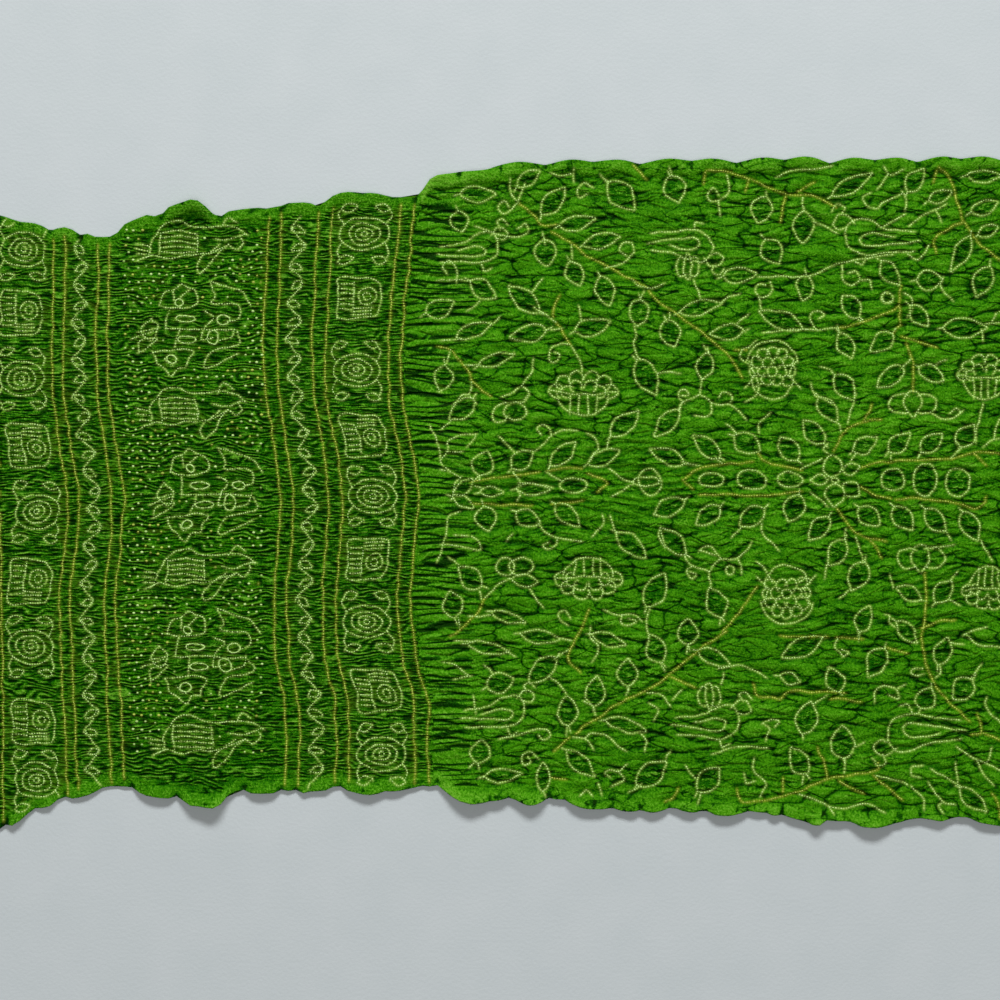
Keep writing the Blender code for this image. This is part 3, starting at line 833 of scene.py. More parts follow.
turn = np.radians(6 * patchy(60, 25, 4) + 22 * patchy(24, 16, 8) * in_field * (1 - 0.6 * near_middle))
pleats = pleated(pitch, turn, 17.0, 7.0, 9.0, 4.0, 21)
fine = pleated(pitch * 0.55, turn + np.radians(12) * patchy(15, 10, 6), 9.0, 4.0, 7.0, 3.0, 22)
print("pleat pitch, mm:", round(pitch.min(), 1), "to", round(pitch.max(), 1))

# %% [markdown]
# ## Creases and leaves
# A tie holds the silk down, and a sharp crease runs out of it, mostly along the cloth, and fades.
# Each is walked in steps of a millimetre and pressed into the ground. Inside the leaves the silk
# is closely tied, so it lies lower there, and the finish paints it darker as painted shade.

# %% Tapering creases, and the insides of leaves
def press_creases(starts, way, spread, long, wide, seed):
    """Creases that leave those places in that direction or its opposite, as depths from 0 to 1."""
    rng = np.random.default_rng(seed)
    field = np.zeros(X.shape)
    for x, y in starts:
        a = rng.normal(way, spread) + math.pi * rng.integers(0, 2)
        bend = rng.normal(0, 0.022)
        steps = int(long * rng.uniform(0.35, 1.5))
        size = wide * rng.uniform(0.75, 1.25)
        for step in range(steps):
            x, y, a = x + math.cos(a), y + math.sin(a), a + bend
            c, r = int(x) + GROUND_X, int(y) + GROUND_Y
            if not (6 < c < X.shape[1] - 6 and 6 < r < X.shape[0] - 6):
                break
            window = (slice(r - 5, r + 6), slice(c - 5, c + 6))
            left = 1 - step / steps
            away = (X[window] - x) ** 2 + (Y[window] - y) ** 2
            pressed = left * np.exp(-away / (size * (0.5 + 0.5 * left)) ** 2)
            field[window] = np.maximum(field[window], pressed)
    return field


picker = np.random.default_rng(41)
field_dots = dots[dots[:, 0] > -60]
from_ties = field_dots[picker.choice(len(field_dots), 1500, replace=False), :2]
creases = press_creases(from_ties, 0.0, 0.24, 26, 1.9, 42)
loose_x = picker.uniform(-70, ends[1], 700)
loose = np.column_stack([loose_x, picker.uniform(-300, 325, 700)])
creases = np.maximum(creases, 0.75 * press_creases(loose, 0.0, 0.3, 22, 1.7, 43))
edge_starts = []
for edge, notches, side in ((edge_far, far_notch, 1), (edge_near, near_notch, -1)):
    for x in [spot[0] for spot in notches] * 3 + [picker.uniform(*ends) for _ in range(34)]:
        edge_starts.append((x, np.interp(x, edge_x, edge) - side * 2))
edge_creases = press_creases(edge_starts, math.pi / 2, 0.38, 17, 1.9, 44)

inside = np.zeros(X.shape)
for item in [Leaf(f.x, f.y, 0, 2 * f.rx, 2 * f.ry) for f in FRUITS] + LEAVES:
    c, r = int(item.x) + GROUND_X, int(item.y) + GROUND_Y
    window = (slice(r - 24, r + 25), slice(c - 24, c + 25))
    a = math.radians(item.turn)
    dx, dy = X[window] - item.x, Y[window] - item.y
    u = (dx * math.cos(a) + dy * math.sin(a)) / (item.length / 2)
    v = (dy * math.cos(a) - dx * math.sin(a)) / (item.width / 2)
    inside[window] = np.maximum(inside[window], soft_step(u**2 + v**2, 1.2, 0.5))
print("share of the ground creased:", round(float((creases > 0.3).mean()), 3))

# %% [markdown]
# ## The height of the silk
# The solid gives the broad folds. Pleats are added on it, deeper where the silk is gathered, and
# puffs stand up between the tied lines, with the creases pressed into them. Along the selvedges
# the plain silk is ruffled.

# %% One height for every cell
to_far = np.interp(xs, edge_x, edge_far)[None, :] - Y
to_near = Y - np.interp(xs, edge_x, edge_near)[None, :]
plain = soft_step(np.minimum(to_far, to_near), 18.0, 8.0)  # 1 on the untied strip along a selvedge
lifted = np.interp(xs, edge_x, far_bulge)[None, :] * soft_step(to_far, 20.0, 0.0)
lifted = lifted + np.interp(xs, edge_x, near_bulge)[None, :] * soft_step(to_near, 20.0, 0.0)
pleat_depth = 0.8 + in_field * (0.5 - 0.55 * calm + 0.5 * near_middle) + 1.1 * in_gather
pleat_depth = pleat_depth * (1 + 0.35 * patchy(24, 14, 31))
puff = (0.4 + 2.1 * in_field) * blur(open_silk * (1 - 0.5 * inside), 1.3)
pleat_depth = pleat_depth * (1 - 0.8 * plain)
top = 1.6 + 0.75 * (solid_top - 1.5) + puff + 0.45 * lifted + 0.8 * plain
top += pleat_depth * (pleats - 0.55) * (1 - 0.5 * inside)
top += (0.25 * pleat_depth * (1 - in_gather) + 0.9 * inside) * (fine - 0.5)
top -= 1.5 * creases * in_field + 0.9 * creases * in_gather + 1.6 * edge_creases
top = np.maximum(top, 1.2)
# How far the top stands above its surroundings; the finish paints light on crests and shade in hollows with
# it
hollow = top - blur(top, 5.0, 4.0)
print("silk's top, mm:", round(top.min(), 1), "to", round(top.max(), 1))

# %% [markdown]
# ## The sheet
# The silk is a warped grid: its columns stand across the length, its rows run from selvedge to
# selvedge, closer together than the columns because the pleats run lengthwise. A coarser grid
# below, sewn to the rim, closes it into a thin body.

# %% Building the sheet
COLUMNS_BANDS, COLUMNS_FIELD = 62, 146
ROWS = 414
SHEET = 0.8  # how thick the rim is, mm
UNDER_STEP = 3

columns = np.concatenate([
    np.linspace(ends[0], -40, COLUMNS_BANDS, endpoint=False), np.linspace(-40, ends[1], COLUMNS_FIELD)])
far = np.interp(columns, edge_x, edge_far)
near = np.interp(columns, edge_x, edge_near)
share = np.linspace(0, 1, ROWS)
sheet_x = np.repeat(columns[None, :], ROWS, axis=0)
sheet_y = near + (far - near) * share[:, None]
sheet_z = read(top, sheet_x, sheet_y)


def height_at(x, y):
    """The sheet's own height at table places, read between its grid points."""
    c = np.clip(np.searchsorted(columns, x) - 1, 0, len(columns) - 2)
    u = (x - columns[c]) / (columns[c + 1] - columns[c])
    low, high = near[c] * (1 - u) + near[c + 1] * u, far[c] * (1 - u) + far[c + 1] * u
    v = np.clip((y - low) / (high - low), 0, 0.9999) * (ROWS - 1)
    r = v.astype(int)
    v = v - r
    below = sheet_z[r, c] * (1 - u) + sheet_z[r, c + 1] * u
    above = sheet_z[r + 1, c] * (1 - u) + sheet_z[r + 1, c + 1] * u
    return below * (1 - v) + above * v


def grid_faces(rows, cols, start=0):
    r, c = np.meshgrid(np.arange(rows - 1), np.arange(cols - 1), indexing="ij")
    corner = start + r * cols + c
    return np.stack([corner, corner + 1, corner + cols + 1, corner + cols], -1).reshape(-1, 4)


top_points = np.column_stack([sheet_x.ravel(), sheet_y.ravel(), sheet_z.ravel()])
top_faces = grid_faces(ROWS, len(columns))
keep_rows = np.unique(np.append(np.arange(0, ROWS, UNDER_STEP), ROWS - 1))
keep_columns = np.unique(np.append(np.arange(0, len(columns), UNDER_STEP), len(columns) - 1))
print("sheet points:", len(top_points), "faces:", len(top_faces))


# %% The underside, coarser, sewn to the rim
last_row, last_column = ROWS - 1, len(columns) - 1
under_index = -np.ones((ROWS, len(columns)), int)
wanted = np.zeros_like(under_index, bool)
wanted[np.ix_(keep_rows, keep_columns)] = True
wanted[[0, last_row], :] = True
wanted[:, [0, last_column]] = True
under_index[wanted] = len(top_points) + np.arange(wanted.sum())
lowest = sheet_z.copy()
for shift in range(1, UNDER_STEP + 1):
    for axis in (0, 1):
        for way in (-shift, shift):
            lowest = np.minimum(lowest, np.roll(sheet_z, way, axis))
for way in ((1, 1), (1, -1), (-1, 1), (-1, -1)):
    lowest = np.minimum(lowest, np.roll(lowest, way, (0, 1)))
rim = np.zeros_like(wanted)
rim[[0, last_row], :] = True
rim[:, [0, last_column]] = True
under_z = np.maximum(np.where(rim, sheet_z, lowest) - SHEET, 0.0)
under_points = np.column_stack([sheet_x[wanted], sheet_y[wanted], under_z[wanted]])

under_faces = []
for r0, r1 in zip(keep_rows, keep_rows[1:]):
    for c0, c1 in zip(keep_columns, keep_columns[1:]):
        left = range(r0, r1 + 1) if c0 == 0 else (r0, r1)
        right = range(r1, r0 - 1, -1) if c1 == last_column else (r1, r0)
        top_side = range(c0, c1 + 1) if r1 == last_row else (c0, c1)
        bottom = range(c1, c0 - 1, -1) if r0 == 0 else (c1, c0)
        loop = [(r, c0) for r in left] + [(r1, c) for c in top_side][1:]
        loop += [(r, c1) for r in right][1:] + [(r0, c) for c in bottom][1:-1]
        under_faces.append([int(under_index[p]) for p in loop])

edge_loop = [(0, c) for c in range(last_column)] + [(r, last_column) for r in range(last_row)]
edge_loop += [(last_row, c) for c in range(last_column, 0, -1)] + [(r, 0) for r in range(last_row, 0, -1)]
rim_faces = []
for a, b in zip(edge_loop, edge_loop[1:] + edge_loop[:1]):
    top_a, top_b = a[0] * len(columns) + a[1], b[0] * len(columns) + b[1]
    rim_faces.append([top_b, top_a, int(under_index[a]), int(under_index[b])])

points = np.vstack([top_points, under_points])
points[:, 1] -= CLOTH_MIDDLE_Y
mesh = bpy.data.meshes.new("silk_sheet")
mesh.from_pydata((points * MM).tolist(), [], top_faces.tolist() + under_faces + rim_faces)
mesh.shade_smooth()
cloth = bpy.data.objects.new("silk_sheet", mesh)
bpy.context.scene.collection.objects.link(cloth)
check = bmesh.new()
check.from_mesh(mesh)
print("open edges:", sum(not e.is_manifold for e in check.edges), "volume, litres:",
      round(check.calc_volume(signed=True) * 1000, 3))
check.free()

# %% [markdown]
# ## What the silk knows about its ties
# The finish needs to know, at every spot, how far along and how far beside the nearest tied line
# it is. Those two numbers jump where one line's ground meets another's, so they are kept for each
# corner of each face, all four worked out from the same dot. Softer facts are kept for each point.

# %% Writing the facts on the mesh
def keep(name, values):
    """One number for each point: the sheet's top has its own, and its underside a plain 0."""
    layer = mesh.attributes.new(name, "FLOAT", "POINT")
    row = np.zeros(len(mesh.vertices), np.float32)
    row[:len(values)] = values
    layer.data.foreach_set("value", row)


FACTS = {
    "hollow": hollow, "near": nearest, "crowd": crowd * 100, "inside": inside, "field": in_field,
    "crease": np.maximum(creases * np.maximum(in_field, in_gather), edge_creases),
    "plain": plain, "bands": on_bands, "figures": on_figures, "gathered": gathered,
    "patches": patchy(30, 18, 61), "some": patchy(16, 11, 62), "uneven": patchy(8, 2.4, 63),
}
for name, field in FACTS.items():
    keep(name, read(field, top_points[:, 0], top_points[:, 1]))

corners = top_points[top_faces][:, :, :2]
middles = corners.mean(axis=1)
cell = (np.rint(middles[:, 1]).astype(int) + GROUND_Y, np.rint(middles[:, 0]).astype(int) + GROUND_X)
mine = dots[owner[cell]][:, None, :]
off = corners - mine[:, :, :2]
along = (off[:, :, 0] * mine[:, :, 2] + off[:, :, 1] * mine[:, :, 3]) * mine[:, :, 4]
beside = off[:, :, 1] * mine[:, :, 2] - off[:, :, 0] * mine[:, :, 3]
tie = np.full((len(mesh.loops), 3), 99.0, np.float32)
used = len(top_faces) * 4
tie[:used, 0] = along.reshape(-1)
tie[:used, 1] = beside.reshape(-1)
tie[:used, 2] = np.repeat(mine[:, 0, 5], 4)
layer = mesh.attributes.new("tie", "FLOAT_VECTOR", "CORNER")
layer.data.foreach_set("vector", tie.ravel())
print("faces that know their tie:", len(top_faces))

# %% [markdown]
# ## Writing finishes as sums
# A finish is a chain of small nodes. Two helpers keep it readable: a wire that can be added,
# multiplied and so on like a number, and one method that adds any other node.

# %% Helpers for finishes
class Wire:
    """An output socket that does arithmetic, one Math node for each step."""

    def __init__(self, finish, socket):
        self.finish = finish
        self.socket = socket

    def maths(self, operation, *values):
        sockets = dict(enumerate(values))
        node = self.finish.node("ShaderNodeMath", {"operation": operation}, sockets)
        return Wire(self.finish, node.outputs[0])

    def __add__(self, other):
        return self.maths("ADD", self, other)

    def __sub__(self, other):
        return self.maths("SUBTRACT", self, other)

    def __mul__(self, other):
        return self.maths("MULTIPLY", self, other)

    def __truediv__(self, other):
        return self.maths("DIVIDE", self, other)

    def __rsub__(self, other):
        return self.maths("SUBTRACT", other, self)

    __radd__ = __add__
    __rmul__ = __mul__

    def bell(self, width):
        """1 where the value is 0, falling off to both sides like a bell."""
        scaled = self / width
        return self.maths("EXPONENT", scaled * scaled * -1.0)

    def above(self, limit):
        return self.maths("GREATER_THAN", self, limit)

    def cosine(self):
        return self.maths("COSINE", self)

    def clamped(self):
        return self.maths("MAXIMUM", self.maths("MINIMUM", self, 1.0), 0.0)

    def step(self, start, end):
        """0 below start, 1 above end, softly between."""
        sockets = {"Value": self, "From Min": start, "From Max": end}
        node = self.finish.node("ShaderNodeMapRange", {"interpolation_type": "SMOOTHSTEP"}, sockets)
        return Wire(self.finish, node.outputs[0])


FOLD_CURVE = 0.03  # how far a fold bends out of line, per millimetre of its run, squared


class Finish:
    """One material and the nodes in it."""

    def __init__(self, name):
        self.material = bpy.data.materials.new(name)
        self.material.use_nodes = True
        self.tree = self.material.node_tree
        self.shader = self.tree.nodes["Principled BSDF"]

    def feed(self, socket, value):
        if isinstance(value, Wire):
            self.tree.links.new(value.socket, socket)
        else:
            socket.default_value = value

    def node(self, kind, settings=None, sockets=None):
        node = self.tree.nodes.new(kind)
        for name, value in (settings or {}).items():
            setattr(node, name, value)
        for name, value in (sockets or {}).items():
            self.feed(node.inputs[name], value)
        return node

    def wire(self, kind, settings=None, sockets=None, output=0):
        return Wire(self, self.node(kind, settings, sockets).outputs[output])

    def attribute(self, name, output="Fac"):
        return self.wire("ShaderNodeAttribute", {"attribute_name": name}, output=output)

    def place(self, scale):
        """Object coordinates, stretched by three scales given per millimetre."""
        spot = self.wire("ShaderNodeTexCoord", output="Object")
        return self.wire("ShaderNodeMapping", {}, {"Vector": spot, "Scale": [k / MM for k in scale]})

    def noise(self, scale, detail=2.0, rough=0.5):
        """Soft noise, its scales given per millimetre, flat where the last of them is 0."""
        sockets = {"Vector": self.place(scale), "Scale": 1.0, "Detail": detail, "Roughness": rough}
        kind = {"noise_dimensions": "2D"} if scale[2] == 0.0 else {}
        return self.wire("ShaderNodeTexNoise", kind, sockets)

    def crumple(self, x, y, cell, reach):
        """How far each place is from the nearest fold of a crumpled sheet, in parts of a facet."""
        spot = self.wire("ShaderNodeCombineXYZ", {}, {"X": x / cell[0], "Y": y / cell[1]})
        sway = self.wire("ShaderNodeTexNoise", {"noise_dimensions": "2D"}, {
            "Vector": spot, "Scale": 1.6, "Detail": 0.0}, output=1)
        spot = self.wire("ShaderNodeVectorMath", {"operation": "MULTIPLY_ADD"}, {
            0: sway, 1: (reach, reach, 0.0), 2: spot})
        kind = {"voronoi_dimensions": "2D", "feature": "DISTANCE_TO_EDGE"}
        return self.wire("ShaderNodeTexVoronoi", kind, {"Vector": spot, "Scale": 1.0})

    def parts(self, vector):
        """The three numbers in a vector or a colour."""
        node = self.node("ShaderNodeSeparateXYZ", {}, {"Vector": vector})
        return [Wire(self, socket) for socket in node.outputs]

    def folds(self, x, y, cell, long, wide, lean):
        """Tapering folds along x, one to a cell of that size in millimetres, each its own way."""
        spot = self.wire("ShaderNodeCombineXYZ", {}, {"X": x / cell[0], "Y": y / cell[1]})
        kind = {"voronoi_dimensions": "2D"}
        cells = self.node("ShaderNodeTexVoronoi", kind, {"Vector": spot, "Scale": 1.0})
        middle_x, middle_y, _ = self.parts(Wire(self, cells.outputs["Position"]))
        lie, strength, _ = self.parts(Wire(self, cells.outputs["Color"]))
        dx, dy = x - middle_x * cell[0], y - middle_y * cell[1]
        across = dy - dx * (lie - 0.5) * lean + dx * dx * (strength - 0.5) * FOLD_CURVE
        return across.bell(wide) * dx.bell(long) * strength.step(0.0, 0.35)

    def pleats(self, beside, pitch, sway, turns):
        """Even waves across a line in millimetres, 1 in each trough, that sway along the cloth."""
        phase = beside * (2 * math.pi / pitch) + self.noise(sway, 0.0) * turns
        return phase.cosine()

    def mix(self, share, a, b):
        sockets = {"Factor": share, 6: a, 7: b}
        return self.wire("ShaderNodeMix", {"data_type": "RGBA"}, sockets, output=2)


def dye(red, green, blue):
    """A colour as seen on a screen, 0 to 255, in the numbers that a shader works with."""
    shares = [v / 255 for v in (red, green, blue)]
    return [v / 12.92 if v <= 0.04045 else ((v + 0.055) / 1.055) ** 2.4 for v in shares] + [1.0]


# %% [markdown]
# ## Green silk
# Silk shines softly. Its colour holds painted light and shade: painted shade in the creases, folds and
# hollows and where the tying was closest, painted light and painted highlights on crests and puffs, and
# a little olive beside the ties, where the dye seeped under the thread. Folds too fine for the mesh are
# bumps and painted shade. Some are tapering strokes, one to a cell of a random pattern: long ones and
# short ones in the field, shorter and closer ones over the bands, and long straight ones where the cloth
# is gathered. Some are the edges of crumpled facets. Over the bands even ribs run across the tied lines,
# closest between them.

# %% What the finish reads
silk = Finish("silk")
near_tie, creased, crease, in_leaf, leafy, plain_strip = (
    silk.attribute(name) for name in ("near", "hollow", "crease", "inside", "field", "plain"))
bands, figures, gathers, patches, some, uneven = (
    silk.attribute(name) for name in ("bands", "figures", "gathered", "patches", "some", "uneven"))
crowded = silk.attribute("crowd").step(2.5, 6.5)
along_line, beside_line, line_dye = silk.parts(silk.attribute("tie", "Vector"))
beat = (along_line * (2 * math.pi / PITCH)).cosine()
on_line = beside_line.bell(1.1 + line_dye * 0.3) * along_line.bell(2.4)
x_mm, y_mm, _ = silk.parts(silk.place((1.0, 1.0, 1.0)))
# How closely tied the silk is: below it sets painted shade of the close crinkle, and a stronger crinkle
tight = (in_leaf * 0.9 + bands * 0.45 + crowded * 0.35).clamped()
tied_down = 1.0 - plain_strip

# %% Folds too fine for the mesh
banded = bands.above(0.5)
pulled = (gathers + uneven * 0.3).above(0.5)
fold = silk.folds(x_mm, y_mm, (38.0 - banded * 23.0, 14.0 - banded * 9.6), 18.0 - banded * 11.0,
                  1.6 - banded * 0.6, 0.7 - banded * 0.4)
short_cell = (19.0 + pulled * 36.0 - banded * 7.0, 7.8 - banded * 4.0)
short_fold = silk.folds(x_mm, y_mm, short_cell, 8.0 + pulled * 24.0,
                        1.1 + pulled * 0.5 - banded * 0.2, 0.9 - pulled * 0.8 - banded * 0.6)
facet = silk.crumple(x_mm, y_mm, (36.0, 16.0), 0.5)
# The fold masks named _line darken the silk's colour as painted shade along each fold; facet_line is also a
# bump
facet_line = facet.bell(0.045) * some.step(-0.3, 0.4) * leafy
smooth = 1.0 - plain_strip * 0.85
busy = (some.step(-0.7, 0.4) + bands + in_leaf).clamped() * smooth  # silk with folds close together
fold_line = fold.step(0.1, 0.95) * (1.0 - gathers * 0.6 - bands * 0.3) * busy
short_line = short_fold.step(0.15, 0.9) * (0.4 + in_leaf * 0.3 + gathers * 0.8 + bands * 0.25) * smooth
long_fold = silk.noise((0.021, 0.062, 0.0), 1.0) - 0.5
long_line = long_fold.bell(0.016) * some.step(0.5, -0.2) * leafy

# %% Ribs, crinkle and grain
# Ribs, pulled ribs, puckers and ruffle folds are only painted light and shade in the colour, with painted
# highlights on rib crests; tucks, crinkle and grain are bumps too
rib = silk.pleats(y_mm, 2.75, (0.022, 0.070, 0.0), 15.0)
loose_rib = silk.pleats(y_mm, 5.4, (0.045, 0.080, 0.0), 19.0)
long_rib = silk.pleats(y_mm, 7.6, (0.010, 0.040, 0.0), 20.0).step(0.1, 1.0) * gathers
tuck = loose_rib * uneven.step(-0.9, 0.3) * bands * tied_down
ribs = rib * (0.6 - figures * 0.35) * uneven.step(0.9, -0.4) * bands * tied_down + tuck * 0.8
pulled_rib = long_rib * uneven.step(-1.1, -0.1) * tied_down
crinkle = silk.noise((0.12, 0.27, 0.0), 2.0, 0.65) - 0.5
crinkle = crinkle * (tight * tied_down * 1.3 + 0.18)
grain = silk.noise((0.46, 0.42, 0.0), 1.0, 0.9) - 0.5
pucker = beat * beside_line.bell(5.0) * along_line.bell(4.0) * (0.3 + bands * 0.9)
ruffle_line = silk.pleats(x_mm, 17.0, (0.060, 0.030, 0.0), 18.0).step(0.3, 1.0)
ruffle_line = ruffle_line * plain_strip * some.step(-0.3, 0.4)

# %% The silk's colour and bumps
# Lit and shaded copies of one green for painted light and shade, a painted highlight, olive dye by the ties,
# and a painted shade for close crinkle
lit_green, shaded_green, shadow_green = dye(73, 147, 10), dye(14, 86, 0), dye(0, 33, 0)
painted_highlight_green, olive, close_crinkle_shade_green = dye(126, 186, 58), dye(84, 120, 18), dye(24, 80, 0)
cream, mustard = dye(168, 203, 92), dye(138, 155, 38)

# Painted light and shade: lighter on crests, puffs, puckers, gathers and the smooth strip, darker in hollows
# and rib troughs; patches add a little random tone
painted_light_level = creased * 0.34 + crinkle * 2.0 + grain * 1.8 + patches * 0.08 + pucker * 0.3
painted_light_level = painted_light_level + leafy * (0.1 - facet.bell(0.14) * 0.2) - ribs * 0.5 + plain_strip * 0.2 + gathers * 0.3
# Painted shade where the tying is tight, and a painted highlight on the highest crests
green = silk.mix((painted_light_level + 0.52 - tight * 0.36).clamped(), shaded_green, lit_green)
green = silk.mix((painted_light_level * 1.1 - 0.42).clamped(), green, painted_highlight_green)
# Painted shade of the folds: creases, fold strokes, facet edges, ribs, pulled ribs, tucks and ruffles darken
# the green, less on lit crests, more where the tying is tight
painted_fold_shade = crease.step(0.2, 0.85) * 0.8 + fold_line + short_line + facet_line * 0.8 + pulled_rib * 1.25
painted_fold_shade = painted_fold_shade + long_line * 0.8 + ribs.step(0.05, 0.9) * 0.8 + ruffle_line * 0.45
painted_fold_shade = painted_fold_shade - painted_light_level * 0.5 + tight * 0.16
# A painted highlight on the rib crests, the painted fold shade, and painted shade of close crinkle where the
# dots crowd
green = silk.mix(ribs.step(-0.4, -1.0) * 0.5, green, painted_highlight_green)
green = silk.mix((painted_fold_shade * 1.3).clamped(), green, shaded_green)
green = silk.mix((painted_fold_shade * 1.5 - 0.65).clamped(), green, shadow_green)
green = silk.mix(crowded * 0.40, green, close_crinkle_shade_green)
green = silk.mix(near_tie.step(3.4, 1.0) * 0.35, green, olive)
tied_colour = silk.mix(line_dye, cream, mustard)
green = silk.mix(on_line * (beat * 0.16 + 0.80), green, tied_colour)
silk.feed(silk.shader.inputs["Base Color"], green)

relief = fold * 2.0 + short_fold * (1.1 + gathers * 1.2) + facet_line * 1.2
relief = crinkle * 3.2 + grain * 1.0 - tuck * 0.8 - relief * smooth
bump = silk.wire("ShaderNodeBump", {}, {"Strength": 1.0, "Distance": MM, "Height": relief})
silk.feed(silk.shader.inputs["Normal"], bump)
silk.feed(silk.shader.inputs["Roughness"], grain * 0.25 + 0.5)
silk.shader.inputs["Specular IOR Level"].default_value = 0.14
silk.shader.inputs["Specular Tint"].default_value = (0.35, 1.0, 0.1, 1.0)
cloth.data.materials.append(silk.material)
print("silk's nodes:", len(silk.tree.nodes))

# %% [markdown]
# ## Dots that stand up
# Each knot leaves a small raised dot, wider across its line than along it. One dot is modelled:
# a low six-sided cone whose top centre is pulled up into a dome. Thousands of copies then
# take their places on the sheet, joined into a few meshes.

# %% One dot
DOT_SIDES = 6
bpy.ops.object.select_all(action="DESELECT")
bpy.ops.mesh.primitive_cone_add(
    vertices=DOT_SIDES, radius1=1.0, radius2=0.62, depth=1.0, end_fill_type="TRIFAN", location=(0, 0, 0.5))
dot = bpy.context.object
bpy.ops.object.mode_set(mode="EDIT")
bpy.ops.mesh.select_mode(type="VERT")
shape = bmesh.from_edit_mesh(dot.data)
for vertex in shape.verts:
    middle = math.hypot(vertex.co.x, vertex.co.y) < 0.1
    vertex.select_set(middle and vertex.co.z > 0)
shape.select_flush_mode()
bpy.ops.transform.translate(value=(0, 0, 0.35))
bpy.ops.object.mode_set(mode="OBJECT")
dot_points = np.array([dot.matrix_world @ v.co for v in dot.data.vertices])
dot_faces = np.array([list(p.vertices) for p in dot.data.polygons if len(p.vertices) == 3])
dot_quads = np.array([list(p.vertices) for p in dot.data.polygons if len(p.vertices) == 4])
bpy.data.objects.remove(dot)
print("one dot:", len(dot_points), "points,", len(dot_faces) + 2 * len(dot_quads), "triangles")

# %% Copies on the sheet
ALONG, ACROSS, RISE, SUNK = 1.08, 0.78, 0.50, 0.30  # a dot's half sizes and heights, mm
chance = np.random.default_rng(17)


def dot_mesh(name, rows):
    """All the dots of those rows as one mesh, each laid on the sheet and turned with its line."""
    x, y, tx, ty = rows[:, 0], rows[:, 1], rows[:, 2], rows[:, 3]
    z = height_at(x, y)
    slope_x = (height_at(x + 1.5, y) - height_at(x - 1.5, y)) / 3.0
    slope_y = (height_at(x, y + 1.0) - height_at(x, y - 1.0)) / 2.0
    up = np.column_stack([-slope_x, -slope_y, np.ones(len(x))])
    up /= np.linalg.norm(up, axis=1)[:, None]
    along = np.column_stack([tx, ty, slope_x * tx + slope_y * ty])
    along -= up * (along * up).sum(1)[:, None]
    along /= np.linalg.norm(along, axis=1)[:, None]
    across = np.cross(up, along)
    size = chance.uniform(0.72, 1.22, len(rows)) * np.where(rows[:, 4] == ALONE, 1.5, 1.0)
    size *= np.where(rows[:, 5] == MUSTARD, 1.12, 1.0)
    low = dot_points * (ALONG, ACROSS, RISE)
    places = (np.column_stack([x, y - CLOTH_MIDDLE_Y, z])[:, None, :]
              + along[:, None, :] * (low[None, :, 0] * size[:, None])[:, :, None]
              + across[:, None, :] * (low[None, :, 1] * size[:, None])[:, :, None]
              + up[:, None, :] * (low[None, :, 2] * size[:, None] - SUNK)[:, :, None])
    start = (np.arange(len(rows)) * len(dot_points))[:, None, None]
    faces = (dot_faces[None] + start).reshape(-1, 3).tolist()
    faces += (dot_quads[None] + start).reshape(-1, 4).tolist()
    made = bpy.data.meshes.new(name)
    made.from_pydata((places.reshape(-1, 3) * MM).tolist(), [], faces)
    made.shade_smooth()
    tint = np.repeat(chance.uniform(0, 1, len(rows)), len(dot_points)).astype(np.float32)
    made.attributes.new("tint", "FLOAT", "POINT").data.foreach_set("value", tint)
    piece = bpy.data.objects.new(name, made)
    bpy.context.scene.collection.objects.link(piece)
    return piece


is_mustard = dots[:, 5] > 0.5
bands = dots[:, 0] < -60
dot_pieces = [
    dot_mesh("mustard_dots", dots[is_mustard]),
    dot_mesh("cream_dots_bands", dots[~is_mustard & bands]),
    dot_mesh("cream_dots_field", dots[~is_mustard & ~bands]),
]
for piece in dot_pieces:
    print(piece.name, len(piece.data.vertices), "points")

# %% The dots' finish
def dot_finish(name, light, dim):
    finish = Finish(name)
    tint = finish.attribute("tint")
    colour = finish.mix((tint * tint).clamped(), light, dim)
    finish.feed(finish.shader.inputs["Base Color"], colour)
    weave = finish.noise((2.0, 2.0, 2.0)) - 0.5
    finish.feed(finish.shader.inputs["Roughness"], weave * 0.2 + 0.6)
    bump = finish.wire("ShaderNodeBump", {}, {"Strength": 0.5, "Distance": MM, "Height": weave * 0.2})
    finish.feed(finish.shader.inputs["Normal"], bump)
    return finish.material


cream_finish = dot_finish("cream_dots", dye(208, 244, 152), dye(134, 180, 72))
mustard_finish = dot_finish("mustard_dots", dye(190, 208, 84), dye(112, 134, 30))
dot_pieces[0].data.materials.append(mustard_finish)
for piece in dot_pieces[1:]:
    piece.data.materials.append(cream_finish)

# %% [markdown]
# ## The floor, the light and the camera
# The cloth lies on a pale floor. One wide soft light stands at its far side and low enough for
# every pleat to throw a soft shadow towards the viewer, and a weak one above opens the shadows.
# The camera looks straight down.

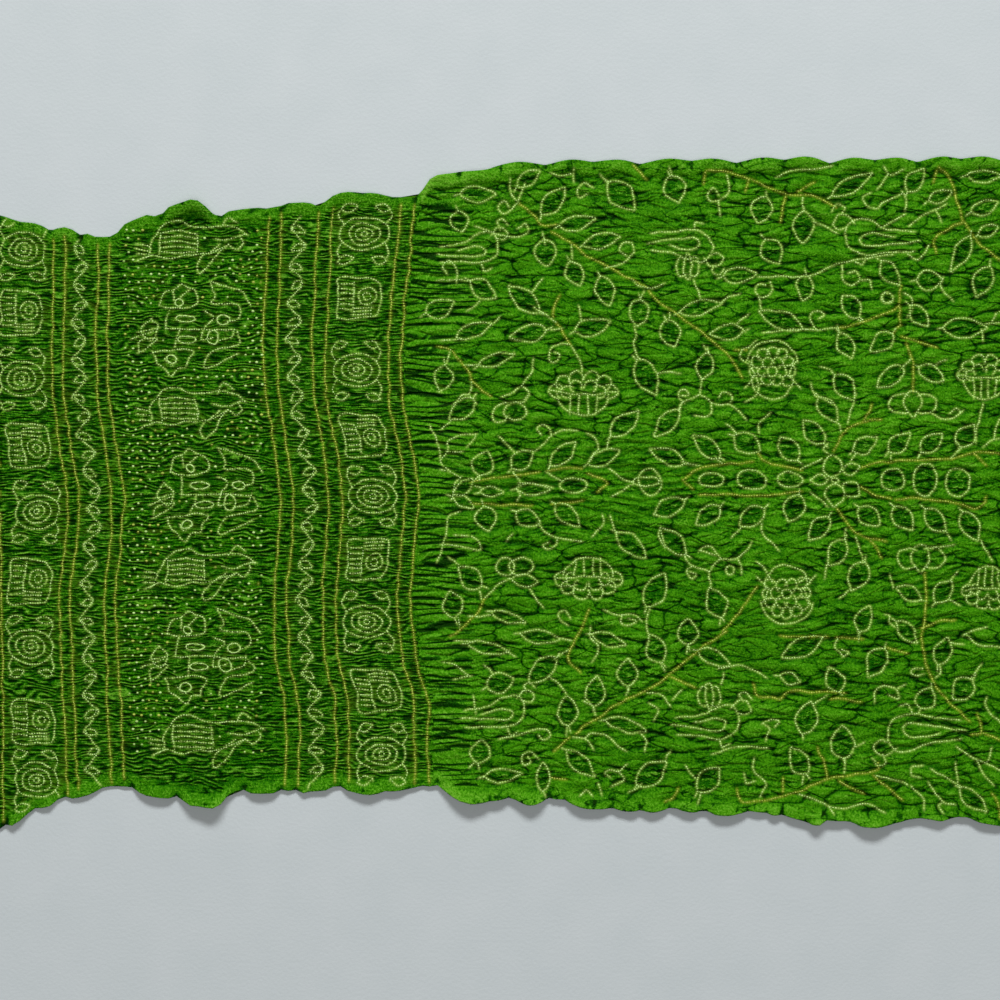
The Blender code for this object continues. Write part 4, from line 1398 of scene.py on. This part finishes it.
# %% Floor
FLOOR_SIZE = 6.0
bpy.ops.object.select_all(action="DESELECT")
bpy.ops.mesh.primitive_plane_add(size=FLOOR_SIZE, location=(0, 0, 0))
floor = bpy.context.object
floor.name = "floor"
plaster = Finish("pale_floor")
mottle = plaster.noise((0.02, 0.02, 0.02), 4.0)
plaster.feed(plaster.shader.inputs["Base Color"], plaster.mix(mottle, dye(196, 204, 208), dye(206, 212, 216)))
plaster.feed(plaster.shader.inputs["Roughness"], mottle * 0.1 + 0.75)
grain = plaster.noise((0.3, 0.3, 0.3), 3.0)
plaster.feed(plaster.shader.inputs["Normal"], plaster.wire(
    "ShaderNodeBump", {}, {"Strength": 0.25, "Distance": MM, "Height": grain}))
floor.data.materials.append(plaster.material)

# %% Light
def soft_light(name, place, size, watts, colour):
    lamp = bpy.data.lights.new(name, "AREA")
    lamp.shape = "RECTANGLE"
    lamp.size, lamp.size_y = size
    lamp.energy = watts
    lamp.color = colour
    light = bpy.data.objects.new(name, lamp)
    light.location = place
    light.rotation_euler = (-Vector(place)).to_track_quat("-Z", "Y").to_euler()
    bpy.context.scene.collection.objects.link(light)


soft_light("window", (0.2, 4.9, 3.9), (3.0, 1.2), 360.0, (0.98, 1.0, 0.98))
soft_light("ceiling", (0.0, -0.6, 4.5), (2.5, 2.5), 56.0, (1.0, 0.99, 0.97))
room = bpy.data.worlds.new("room")
room.use_nodes = True
room.node_tree.nodes["Background"].inputs["Color"].default_value = (1.0, 0.98, 0.94, 1.0)
room.node_tree.nodes["Background"].inputs["Strength"].default_value = 0.115
bpy.context.scene.world = room
bpy.context.scene.view_settings.view_transform = "Standard"

# %% Camera
VIEW_WIDTH = 994.0  # how much of the table the picture shows, mm
LENS, SENSOR = 85.0, 36.0
lens = bpy.data.cameras.new("camera")
lens.lens, lens.sensor_width = LENS, SENSOR
camera = bpy.data.objects.new("camera", lens)
SILK_LEVEL = 5.0
camera.location = world(0, 0, SILK_LEVEL + VIEW_WIDTH * LENS / SENSOR)
bpy.context.scene.collection.objects.link(camera)
bpy.context.scene.camera = camera
print("camera height, m:", round(camera.location.z, 2))

# %% [markdown]
# ## The pieces on one body
# The sheet stands for the solid, and the dots go with it. The silk was about 0.86 m wide and
# 1.03 m long before the tying drew it in.

# %% Attaching the pieces, and hiding the solid
for piece in (cloth, *dot_pieces):
    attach(piece, "root")
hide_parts("bandhani_cloth")
